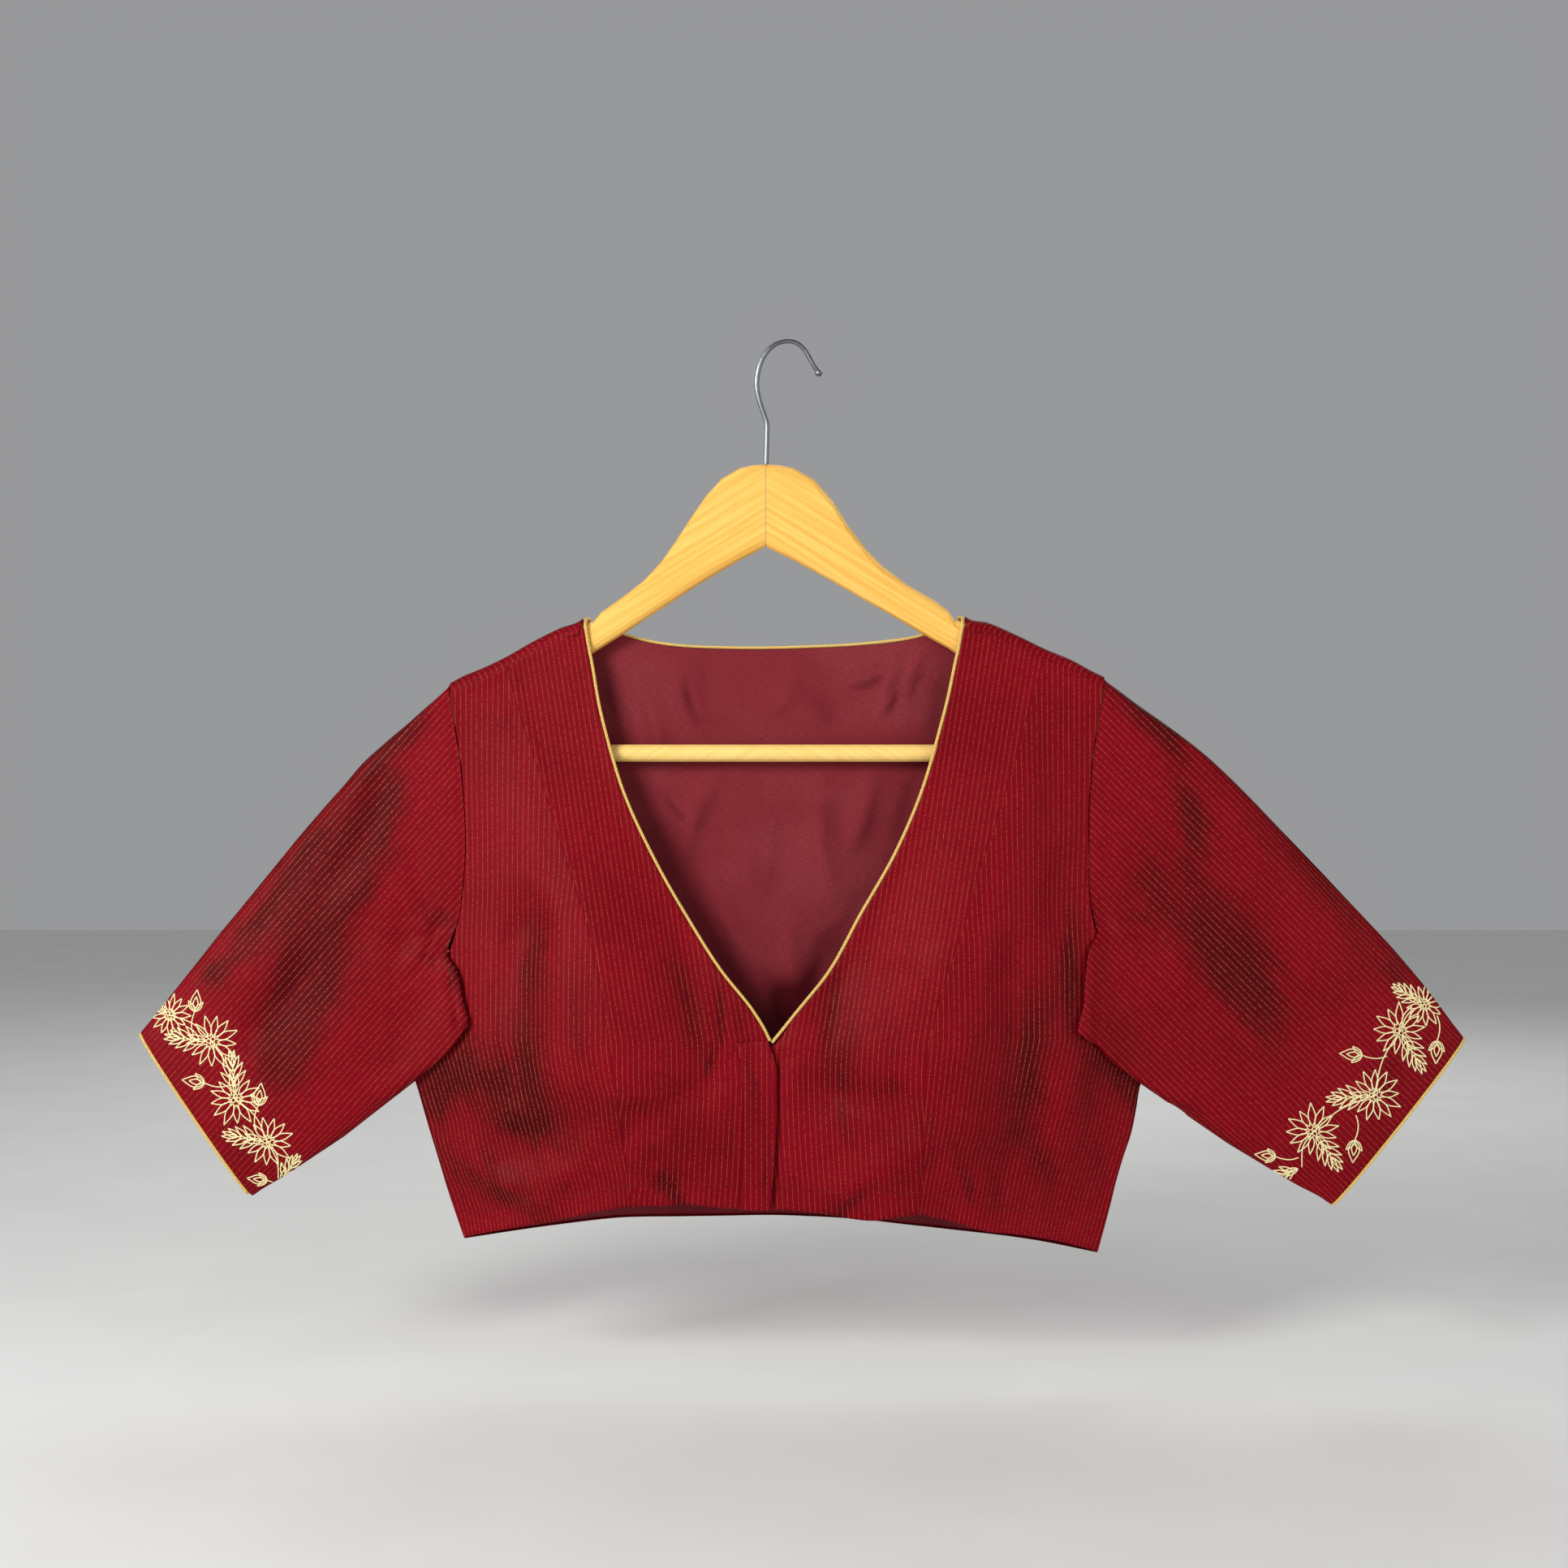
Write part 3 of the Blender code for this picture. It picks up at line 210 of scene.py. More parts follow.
def outer_grid(name, facing=None):
    """One face of a cloth solid, as rows and columns of points in millimetres.

    The solid is a wall round a grid of cells, each split into two triangles the same way, so the
    grid place of each next corner follows from the triangle before it. The face is the one that
    looks along facing, or the larger one where that isn't given.
    """
    mesh = joined_mesh(name)
    left = set()
    for face in mesh.faces:
        if all(abs(edge.calc_length() - WALL) > WALL_SLACK for edge in face.edges):
            left.add(face)
    sides = []
    while left:
        middling = sorted(left, key=lambda face: face.calc_area())[len(left) // 2:]
        corner = min((loop for face in middling for loop in face.loops), key=off_square)
        sides.append(follow_grid(corner, left))

    def worth(side):
        return sum(face.calc_area() * (face.normal.dot(Vector(facing)) if facing else 1) for face in side)

    places, period = straight(max(sides, key=worth))
    at = np.array(list(places.values()))
    at = at - at.min(axis=0)
    size = [turn or most + 1 for turn, most in zip(period, at.max(axis=0))]
    rows, columns = (at % size).T
    grid = np.full((*size, 3), np.nan)
    grid[rows, columns] = [vertex.co for vertex in places]
    if period[0]:
        grid = grid.transpose(1, 0, 2)
    mesh.free()
    return grid


def off_square(loop):
    return abs(loop.calc_angle() - math.pi / 2)


def follow_grid(corner, left):
    """The faces joined to the one at a square corner, each with the grid places of its corners.

    The next corner should complete a parallelogram, and those that come nearest to it go first, so
    a face that was split the other way is met last.
    """
    places = {
        corner.vert: (0, 0),
        corner.link_loop_next.vert: (1, 0),
        corner.link_loop_prev.vert: (0, 1),
    }
    side = {}
    heap = [(0.0, 0, corner.face, places)]
    count = 0
    while heap:
        face, known = heapq.heappop(heap)[2:]
        if face not in left:
            continue
        left.discard(face)
        side[face] = known
        for edge in face.edges:
            for other in edge.link_faces:
                if other not in left:
                    continue
                start, end = edge.verts
                near = next(vertex for vertex in face.verts if vertex not in edge.verts)
                far = next(vertex for vertex in other.verts if vertex not in edge.verts)
                miss = (far.co - start.co - end.co + near.co).length / edge.calc_length()
                place = tuple(known[start][k] + known[end][k] - known[near][k] for k in (0, 1))
                corners = {start: known[start], end: known[end], far: place}
                count += 1
                heapq.heappush(heap, (miss, count, other, corners))
    return side


def straight(side):
    """Each corner's grid place, once the diagonal is known, and the turn of a closed grid.

    Diagonals don't lie on the edge of the grid, and are longer than the other edges.
    """
    kinds = {(1, 0): [], (0, 1): [], (1, -1): []}
    at_edge = dict.fromkeys(kinds, 0)
    for face, known in side.items():
        for edge in face.edges:
            start, end = (known[vertex] for vertex in edge.verts)
            step = (end[0] - start[0], end[1] - start[1])
            kind = step if step in kinds else (-step[0], -step[1])
            kinds[kind].append(edge.calc_length() ** 2)
            at_edge[kind] += sum(other in side for other in edge.link_faces) == 1
    few = max(at_edge.values()) * FEW_AT_EDGE
    diagonal = max(kinds, key=lambda kind: (at_edge[kind] <= few, np.mean(kinds[kind])))
    places = {}
    turns = Counter()
    for known in side.values():
        for vertex, (row, column) in known.items():
            if diagonal == (1, 0):
                column = row + column
            if diagonal == (0, 1):
                row = row + column
            held = places.setdefault(vertex, (row, column))
            if held != (row, column):
                turns[abs(held[0] - row), abs(held[1] - column)] += 1
    period = turns.most_common(1)[0][0] if turns else (0, 0)
    return places, period


def oriented(grid, down):
    """The grid turned so that its rows step along down."""
    steps = [np.nanmean(np.diff(grid, axis=axis), axis=(0, 1)) for axis in (0, 1)]
    if abs(steps[0] @ down) < abs(steps[1] @ down):
        grid = grid.transpose(1, 0, 2)
        steps = steps[::-1]
    if steps[0] @ down < 0:
        grid = grid[::-1]
    return grid


def mended(grid, closed):
    """The grid without corners that sit far from their neighbours, and with the empty places filled."""
    wide = np.concatenate([grid, grid[:, :1]], axis=1) if closed else grid
    while True:
        middle = (wide[:, :-2] + wide[:, 2:]) / 2
        away = np.nan_to_num(np.linalg.norm(wide[:, 1:-1] - middle, axis=-1))
        if away.max() < STRAY:
            break
        row, column = np.unravel_index(away.argmax(), away.shape)
        wide[row, column + 1] = np.nan
    for row in wide:
        known = ~np.isnan(row[:, 0])
        if 0 < (~known).sum() < MOST_EMPTY:
            at = np.arange(len(row))
            for axis in range(3):
                row[:, axis] = np.interp(at, at[known], row[known, axis])
    return wide


def finer(points, step, axis):
    """More rows or columns, on smooth curves through the points, and where they fall."""
    points = np.moveaxis(points, axis, 0)
    spans = np.nanmean(np.linalg.norm(np.diff(points, axis=0), axis=-1), axis=1)
    knots = np.pad(np.cumsum(spans), (1, 0))
    marks = []
    for index, span in enumerate(spans):
        count = max(1, round(span / step))
        marks.extend(index + np.arange(count) / count)
    marks = np.array(marks + [float(len(spans))])
    slopes = np.gradient(points, knots, axis=0)
    rate = np.linalg.norm(np.diff(points, axis=0), axis=-1) / spans[:, None]
    least = np.concatenate([rate[:1], np.minimum(rate[:-1], rate[1:]), rate[-1:]])
    size = np.linalg.norm(slopes, axis=-1) + TINY
    slopes = slopes * np.minimum(1, MOST_SLOPE * least / size)[..., None]
    first = np.minimum(marks.astype(int), len(spans) - 1)
    part = (marks - first)[:, None, None]
    span = spans[first][:, None, None]
    ease = (points[first + 1] - points[first]) * part * part * (3 - 2 * part)
    lead = part * (1 - part) ** 2 * span * slopes[first]
    trail = part * part * (part - 1) * span * slopes[first + 1]
    return np.moveaxis(points[first] + ease + lead + trail, 0, axis), marks


def normals_of(points, closed=False):
    """Normals of a grid of points."""
    along = np.gradient(points, axis=0)
    if closed:
        ring = points[:, :-1]
        across = (np.roll(ring, -1, axis=1) - np.roll(ring, 1, axis=1)) / 2
        across = np.concatenate([across, across[:, :1]], axis=1)
    else:
        across = np.gradient(points, axis=1)
    return unit(np.cross(unit(across), unit(along)))


# A crease or a stroke of painted shade: a bowed line, and how wide it is and how far it pushes or darkens
Stroke = namedtuple("Stroke", "x0 drop0 x1 drop1 bend width push")


def strokes(*rows):
    return [Stroke(*row) for row in rows]


def crease_push(creases, x, drop):
    """How far creases push a face in, millimetres. Each is deepest past its middle."""
    push = np.zeros_like(x)
    for crease in creases:
        run = np.array([crease.x1 - crease.x0, crease.drop1 - crease.drop0])
        length = np.hypot(*run)
        ahead = run / length
        share = ((x - crease.x0) * ahead[0] + (drop - crease.drop0) * ahead[1]) / length
        inside = np.clip(share, 0, 1)
        side = (x - crease.x0) * -ahead[1] + (drop - crease.drop0) * ahead[0]
        side = side - crease.bend * np.sin(np.pi * inside)
        past = (share - inside) * length
        away = np.hypot(side, past)
        taper = np.sin(np.pi * (TAPER_START + TAPER_SPAN * inside**TAPER_POWER))
        push = push + crease.push * taper * np.exp(-((away / crease.width) ** 2))
    return push


def waviness(points, size, seed):
    """A slow unevenness from -1 to 1, the same each run."""
    place = points.reshape(-1, 3) / size + seed
    values = [noise.noise(Vector(row)) for row in place]
    return np.array(values).reshape(points.shape[:2])


def painted_shade_at(shade_strokes, points):
    """The painted shade at each point, its strokes made ragged."""
    ragged = waviness(points, SHADE_RAG_SIZE, SHADE_RAG_SEED) * SHADE_RAG
    return crease_push(shade_strokes, points[..., 0] + ragged, -points[..., 2] + SHADE_RAG_DROP * ragged)


def edge_fade(count):
    """From 0 at both ends of a row of points to 1 a few points in."""
    at = np.arange(count)
    return smooth(np.minimum(at, at[::-1]) / EDGE_POINTS)


def unevenness(points, closed=False):
    """How far the cloth lies in from its solid's face, millimetres, fading out at its edges."""
    sway = sum(share * waviness(points, size, seed) for share, size, seed in UNEVEN_WAVES)
    rows, columns = points.shape[:2]
    fade = edge_fade(rows)[:, None] * (1 if closed else edge_fade(columns))
    return UNEVEN * (1 + sway) / 2 * fade


def rolled(points, closed=False):
    """The grid with its edges turned in a little, so that seams close and hems look folded."""
    for axis in (0,) if closed else (0, 1):
        normals = normals_of(points, closed)
        grid = np.moveaxis(points, axis, 0)
        normals = np.moveaxis(normals, axis, 0)
        first = grid[0] + unit(grid[0] - grid[1]) * ROLL_OUT - normals[0] * ROLL_IN
        last = grid[-1] + unit(grid[-1] - grid[-2]) * ROLL_OUT - normals[-1] * ROLL_IN
        points = np.moveaxis(np.concatenate([first[None], grid, last[None]]), 0, axis)
    return points


def cells(grid):
    """The four corners of each cell of a grid, in turn round it."""
    return np.stack([grid[:-1, :-1], grid[:-1, 1:], grid[1:, 1:], grid[1:, :-1]], axis=2)


def add_object(name, data, place=(0, 0, 0)):
    thing = bpy.data.objects.new(name, data)
    thing.location = place
    bpy.context.scene.collection.objects.link(thing)
    return thing


def add_mesh(name, points, faces, places, material):
    """A smooth piece from points in millimetres, with a place for each face's corners as its UV map."""
    mesh = bpy.data.meshes.new(name)
    mesh.from_pydata(np.array(points) * MM, [], faces)
    layer = mesh.uv_layers.new(name="cut")
    layer.data.foreach_set("uv", np.array(places, float).ravel())
    mesh.shade_smooth()
    mesh.materials.append(material)
    piece = add_object(name, mesh)
    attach(piece, "root")
    return piece


def add_shell(name, points, cut, shade_strokes, material, open_cells=None, closed=False):
    """A thin shell that replaces a cloth solid, with its place on the cut cloth and its painted shade, kept
    as its tone attribute.
    """
    rows, columns = points.shape[:2]
    wrap = columns - 1 if closed else columns
    numbers = np.arange(rows)[:, None] * wrap + np.arange(columns) % wrap
    whole = np.full((rows - 1, columns - 1), True) if open_cells is None else ~open_cells
    used, faces = np.unique(cells(numbers)[whole], return_inverse=True)
    kept = points[:, :wrap].reshape(-1, 3)[used]
    piece = add_mesh(name + "_cloth", kept, faces.reshape(-1, 4).tolist(), cells(cut)[whole], material)
    # The tone attribute holds the painted shade from the strokes
    shade = piece.data.attributes.new("tone", "FLOAT", "POINT")
    tone = painted_shade_at(shade_strokes, points)[:, :wrap].ravel()
    shade.data.foreach_set("value", np.clip(tone[used], 0, 1))
    solid = piece.modifiers.new("cloth", "SOLIDIFY")
    solid.thickness = SHELL * MM
    solid.offset = -1
    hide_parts(name)
    surfaces[name] = points


# Creases of the front panels
FRONT_CREASES = {
    "left": strokes(
        (-34, 374, -34, 402, 1, 2.4, 1.4), (-39.5, 400, -40, 422, -0.8, 2.6, 1.3),
        (-122, 495, -121, 507, 0.5, 3, 1.2), (-142, 322, -146, 448, 3, 9, 1.8),
        (-184, 408, -150, 436, 4, 7, 1.6), (-168, 452, -148, 486, 3, 7, 1.4), (-61, 348, -46, 410, -2, 6, 1),
        (-78, 472, -54, 498, -2, 4, 1.2),
    ),
    "right": strokes(
        (132, 470, 128, 497, 2, 5, 1.4), (158, 475, 156, 500, -2, 4.5, 1.2), (36, 352, 31, 436, 2, 7, 1.2),
        (143, 372, 133, 450, 4, 8, 1.7), (178, 404, 214, 440, -2, 7, 1.2), (52, 484, 25, 506, 0, 4, 1.2),
    ),
}
# Folds of the sleeves, on the front face and on the back one
SLEEVE_CREASES = {
    "left": {
        -1: strokes(
            (-229, 226, -256, 314, -8, 9, 1.9), (-255, 300, -290, 425, 5, 12, 2.2),
            (-262, 276, -320, 354, -4, 8, 1.5), (-226, 343, -197, 339, 3, 4, 1.6),
            (-212, 300, -195, 334, 4, 5, 1.7), (-224, 372, -193, 352, 2, 5, 1.4),
        ),
        1: strokes(
            (-240, 250, -262, 330, 6, 10, 1.8), (-262, 322, -304, 410, -5, 11, 2),
            (-226, 352, -196, 342, -2, 5, 1.5), (-214, 304, -197, 338, 4, 5, 1.3),
        ),
    },
    "right": {
        -1: strokes(
            (188, 204, 230, 242, -5, 6, 1.3), (229, 240, 238, 306, -4, 7, 1.6),
            (226, 320, 286, 398, -5, 12, 2.3), (278, 278, 345, 358, -5, 8, 1.5),
            (226, 346, 192, 338, 2, 4.5, 1.5), (212, 306, 192, 334, -3, 5, 1.4),
        ),
        1: strokes(
            (236, 262, 252, 340, 5, 9, 1.7), (256, 330, 318, 402, -6, 12, 2.1),
            (228, 356, 195, 343, 2, 5, 1.6), (300, 300, 352, 360, 4, 8, 1.2),
        ),
    },
}
BACK_CREASES = strokes(
    (-126, 330, -136, 470, 4, 10, 1.8), (-60, 380, -66, 500, 2, 8, 1.2), (62, 370, 74, 500, -3, 8, 1.4),
    (130, 310, 142, 440, 3, 11, 1.9), (-22, 226, -26, 330, 2, 9, 0.9), (96, 200, 84, 262, -3, 8, 1.1),
    (-100, 214, -84, 290, 4, 9, 1.3), (8, 440, 14, 506, -2, 7, 0.9),
)
# The lining follows the back's creases and has ridges of its own
LINING_CREASES = [crease._replace(push=-crease.push) for crease in BACK_CREASES] + strokes(
    (-52, 176, -44, 222, 3, 6, -2.4), (-88, 186, -70, 240, -4, 6, -2.7), (36, 196, 62, 186, 2, 5, -2),
    (66, 184, 58, 214, -3, 4, -2.2), (82, 178, 74, 206, 2, 3.5, -2), (-34, 244, -58, 300, 4, 7, -2.9),
    (-8, 256, -16, 326, -4, 7, -2.5), (24, 250, 30, 318, 5, 6, -2.5), (52, 244, 38, 296, -4, 7, -2.7),
    (-40, 306, -14, 362, 3, 6, -2.2), (6, 330, 10, 376, 2, 6, -2), (-70, 248, -52, 274, 2, 5, -2),
    (10, 186, -6, 214, -3, 6, -1.7),
)

# Painted shade: darker places where the cloth turns away from the light, and painted shadows where one piece
# shades another, such as under the sleeves
FRONT_SHADE_STROKES = {
    "left": strokes(
        (-143, 318, -143, 378, 0, 8, 0.8), (-143, 372, -148, 455, 0, 15, 1),
        (-178, 402, -215, 446, -3, 13, 1.3), (-176, 405, -150, 440, 4, 12, 0.8),
        (-182, 450, -140, 494, 6, 15, 0.65), (-203, 440, -186, 505, 0, 8, 0.5),
        (-62, 345, -44, 410, -2, 9, 0.7), (-40, 345, -31, 392, 0, 4, 0.45), (-78, 472, -54, 498, -2, 5, 1.1),
        (-112, 503, -60, 499, 0, 3.5, 0.6), (-155, 212, -158, 232, 0, 6, 0.3),
        (-15, 403, -14.5, 446, 0.5, 3, 0.8), (-34, 374, -34, 402, 0.5, 2.5, 1),
        (-39.5, 400, -40, 424, -0.5, 2.5, 0.9), (-27, 372, -22, 404, 0, 3, 0.7),
        (-28, 430, -31, 470, 0, 4, 0.5), (-90, 420, -96, 455, 0, 7, 0.3), (-112, 360, -108, 420, 3, 9, 0.3),
        (-10.5, 444, -10, 500, 0, 2.4, 0.7), (-162, 438, -104, 462, 4, 15, 0.55),
        (-64, 436, -34, 470, 3, 12, 0.4),
    ),
    "right": strokes(
        (34, 350, 30, 430, 2, 12, 0.85), (30, 428, 40, 462, 0, 8, 0.5), (62, 372, 58, 440, 0, 5, 0.3),
        (151, 362, 140, 454, 4, 11, 1.05), (138, 455, 156, 488, -3, 9, 0.75),
        (168, 322, 167, 398, 2, 7, 1.1), (174, 402, 218, 447, -2, 11, 1.2), (120, 476, 130, 507, 0, 7, 0.55),
        (62, 503, 105, 507, 0, 3.5, 0.55), (160, 205, 164, 222, 0, 5, 0.3), (14, 405, 16, 440, 0, 4, 0.3),
        (104, 466, 112, 500, 2, 4, 0.8), (176, 440, 190, 500, 0, 10, 0.4), (50, 486, 24, 507, 0, 3.2, 0.8),
        (56, 446, 104, 462, -4, 13, 0.38), (44, 300, 52, 350, 0, 10, 0.25),
    ),
}
# On the sleeves, painted shade where they turn away and painted shadows at the underarms
SLEEVE_SHADE_STROKES = {
    "left": strokes(
        (-229, 222, -254, 318, -9, 14, 1.2), (-252, 290, -277, 385, 3, 18, 1),
        (-262, 352, -294, 440, 5, 17, 0.9), (-258, 272, -322, 358, -4, 11, 0.95),
        (-322, 356, -334, 372, 0, 8, 0.8), (-345, 392, -352, 410, 0, 9, 0.5),
        (-208, 330, -190, 329, 2, 6, 0.8), (-189, 333, -184, 378, 2, 5, 1),
        (-214, 350, -199, 356, 0, 5, 0.6), (-196, 204, -226, 234, 0, 7, 0.8),
        (-316, 440, -308, 476, 0, 8, 0.5), (-240, 250, -300, 440, 0, 34, 0.42),
    ),
    "right": strokes(
        (187, 199, 230, 238, -5, 8, 1.15), (228, 236, 240, 308, -4, 9, 0.75),
        (222, 314, 286, 400, -5, 19, 1), (276, 275, 344, 356, -5, 9, 0.7), (346, 350, 364, 378, 0, 9, 0.8),
        (193, 332, 218, 334, 0, 5, 0.6), (252, 400, 262, 440, 0, 12, 0.3), (368, 395, 345, 455, 8, 11, 0.5),
        (203, 284, 222, 330, 0, 8, 0.55), (214, 230, 300, 420, 0, 34, 0.38),
    ),
}
# On the back, painted shade along its folds and painted shadows under the sleeves
BACK_SHADE_STROKES = strokes(
    (-130, 330, -140, 470, 4, 12, 0.8), (-60, 380, -66, 500, 2, 8, 0.4), (62, 370, 74, 500, -3, 9, 0.6),
    (132, 310, 144, 440, 3, 12, 0.9), (-178, 402, -215, 446, 0, 12, 1), (172, 402, 218, 447, 0, 10, 1),
    (-20, 230, -24, 330, 2, 10, 0.3), (90, 470, 96, 512, 0, 7, 0.5),
)
# On the lining, painted shadows beside the front's V edges and at the V's bottom, and painted shade along
# its folds
LINING_SHADE_STROKES = strokes(
    (-106, 172, -92, 236, 0, 7, 0.6), (-92, 236, -60, 306, 0, 6, 0.55), (-60, 306, -8, 392, 2, 6, 0.6),
    (98, 172, 84, 236, 0, 8, 0.6), (84, 236, 60, 300, 0, 6, 0.5), (60, 300, 22, 360, 0, 6, 0.5),
    (26, 352, 2, 396, 0, 10, 1.1), (-8, 366, 8, 396, 0, 8, 1.1), (-56, 180, -48, 222, 3, 6, 0.35),
    (30, 190, 66, 184, 3, 5, 0.3), (12, 196, 28, 226, -4, 8, 0.4), (-12, 250, -20, 322, -3, 7, 0.4),
    (34, 250, 40, 320, 4, 7, 0.35), (56, 246, 44, 296, -3, 5, 0.35), (-66, 250, -40, 330, 5, 6, 0.35),
    (70, 188, 64, 212, 1, 2.5, 0.5), (77, 184, 73, 206, -1, 2.5, 0.5), (84, 186, 82, 200, 0, 2, 0.4),
)


def whole_grid(name, down, facing=None):
    """A solid's outer face as an even grid, its rows along down, and the cells that are open."""
    closed = facing is None
    grid = mended(oriented(outer_grid(name, facing), np.array(down, float)), closed)
    want = grid - grid.mean(axis=1, keepdims=True) if closed else np.array(facing, float)
    empty = np.isnan(grid[..., 0])
    spans = np.nanmean(np.linalg.norm(np.diff(grid, axis=0), axis=-1), axis=1)
    for row in range(len(grid) - 3, -1, -1):
        gone = empty[row]
        reach = spans[row] / spans[row + 1]
        grid[row, gone] = grid[row + 1, gone] + (grid[row + 1, gone] - grid[row + 2, gone]) * reach
    if (normals_of(grid) * want).sum() < 0:
        grid = grid[:, ::-1]
        empty = empty[:, ::-1]
    if closed:
        grid = np.concatenate([grid[:, -3:-1], grid, grid[:, 1:3]], axis=1)
    fine, row_marks = finer(grid, CLOTH_STEP, 0)
    fine, column_marks = finer(fine, CLOTH_STEP, 1)
    if closed:
        inside = (column_marks >= 2) & (column_marks <= grid.shape[1] - 3)
        return fine[:, inside], None
    gaps = cells(empty).any(axis=2)
    open_cells = gaps[row_marks[:-1].astype(int)][:, column_marks[:-1].astype(int)]
    return fine, open_cells


def arc_across(points):
    """How far across the cloth each point lies, level with x at its middle column."""
    steps = np.linalg.norm(np.diff(points[..., :2], axis=1), axis=-1)
    along = np.pad(np.cumsum(steps, axis=1), ((0, 0), (1, 0)))
    middle = points.shape[1] // 2
    heading = np.sign(points[0, -1, 0] - points[0, 0, 0])
    return points[:, middle:middle + 1, 0] + heading * (along - along[:, middle:middle + 1])


def linear(red, green, blue):
    """A colour from 0 to 255 as the values that a shader takes."""
    shares = [value / 255 for value in (red, green, blue)]
    return [s / 12.92 if s <= 0.04045 else ((s + 0.055) / 1.055) ** 2.4 for s in shares] + [1.0]


# Where a mix node keeps its two colours and its mixed one
MIX_FIRST, MIX_SECOND, MIX_RESULT = 6, 7, 2


class Nodes:
    """Short calls that add and join shader nodes. A colour is given as red, green and blue to 255."""

    def __init__(self, name):
        self.material = bpy.data.materials.new(name)
        self.material.use_nodes = True
        self.nodes = self.material.node_tree.nodes
        self.links = self.material.node_tree.links
        self.shader = self.nodes["Principled BSDF"]

    def join(self, value, socket):
        if isinstance(value, bpy.types.NodeSocket):
            self.links.new(value, socket)
        elif isinstance(value, tuple):
            socket.default_value = linear(*value)
        else:
            socket.default_value = value

    def add(self, kind, *values, **settings):
        """A node of one kind with its settings, and values or sockets joined to its first inputs."""
        node = self.nodes.new("ShaderNode" + kind)
        for name, setting in settings.items():
            setattr(node, name, setting)
        for value, socket in zip(values, node.inputs):
            self.join(value, socket)
        return node

    def math(self, operation, *values):
        return self.add("Math", *values, operation=operation).outputs[0]

    def times(self, first, second):
        return self.math("MULTIPLY", first, second)

    def plus(self, first, second):
        return self.math("ADD", first, second)

    def remap(self, value, low, high, to_low=0.0, to_high=1.0):
        values = (value, low, high, to_low, to_high)
        return self.add("MapRange", *values, interpolation_type="SMOOTHSTEP").outputs[0]

    def parts(self, vector):
        return self.add("SeparateXYZ", vector).outputs

    def cut_place(self):
        """The place across and along the cut cloth or thread, in millimetres."""
        return self.parts(self.add("UVMap", uv_map="cut").outputs[0])[:2]

    def part_place(self):
        """The place in the part, in millimetres."""
        scale = self.add("VectorMath", self.add("TexCoord").outputs["Object"], operation="SCALE")
        scale.inputs["Scale"].default_value = 1 / MM
        return self.parts(scale.outputs[0])

    def noise(self, place, scales, depth=0.0, detail=2.0):
        """Noise whose features are about 1 across once each part of the place is scaled."""
        scaled = [self.times(part, scale) for part, scale in zip(place, scales)]
        node = self.add("TexNoise", self.add("CombineXYZ", *scaled, depth).outputs[0])
        node.inputs["Scale"].default_value = 1.0
        node.inputs["Detail"].default_value = detail
        return node.outputs["Fac"]

    def blend(self, share, first, second):
        node = self.add("Mix", share, data_type="RGBA")
        self.join(first, node.inputs[MIX_FIRST])
        self.join(second, node.inputs[MIX_SECOND])
        return node.outputs[MIX_RESULT]

    def bump(self, height, distance):
        node = self.add("Bump")
        node.inputs["Distance"].default_value = distance * MM
        self.join(height, node.inputs["Height"])
        self.join(node.outputs[0], self.shader.inputs["Normal"])

    def set(self, **values):
        for name, value in values.items():
            self.join(value, self.shader.inputs[name.replace("_", " ")])
        return self.material


def painted_shade_share(make, streak, streaked, reach):
    """How much painted shade the cloth gets: its painted strokes of shade and shade painted by its slope,
    broken into streaks.
    """
    tone = make.add("Attribute", attribute_name="tone")
    # Shade painted by the slope: darker where the surface turns away from the front, and where it faces down
    normal = make.parts(make.add("NewGeometry").outputs["Normal"])
    facing = make.times(make.math("ABSOLUTE", normal[1]), SHADE_FRONT)
    facing = make.math("MULTIPLY_ADD", normal[2], SHADE_UP, facing)
    slope = make.remap(make.math("SUBTRACT", 1.0, facing), *reach, 0.0, SLOPE_SHADE)
    share = make.plus(tone.outputs["Fac"], slope)
    share = make.plus(share, make.math("MULTIPLY_ADD", streak, streaked, -streaked / 2))
    return make.remap(share, *SHADE_SPAN)


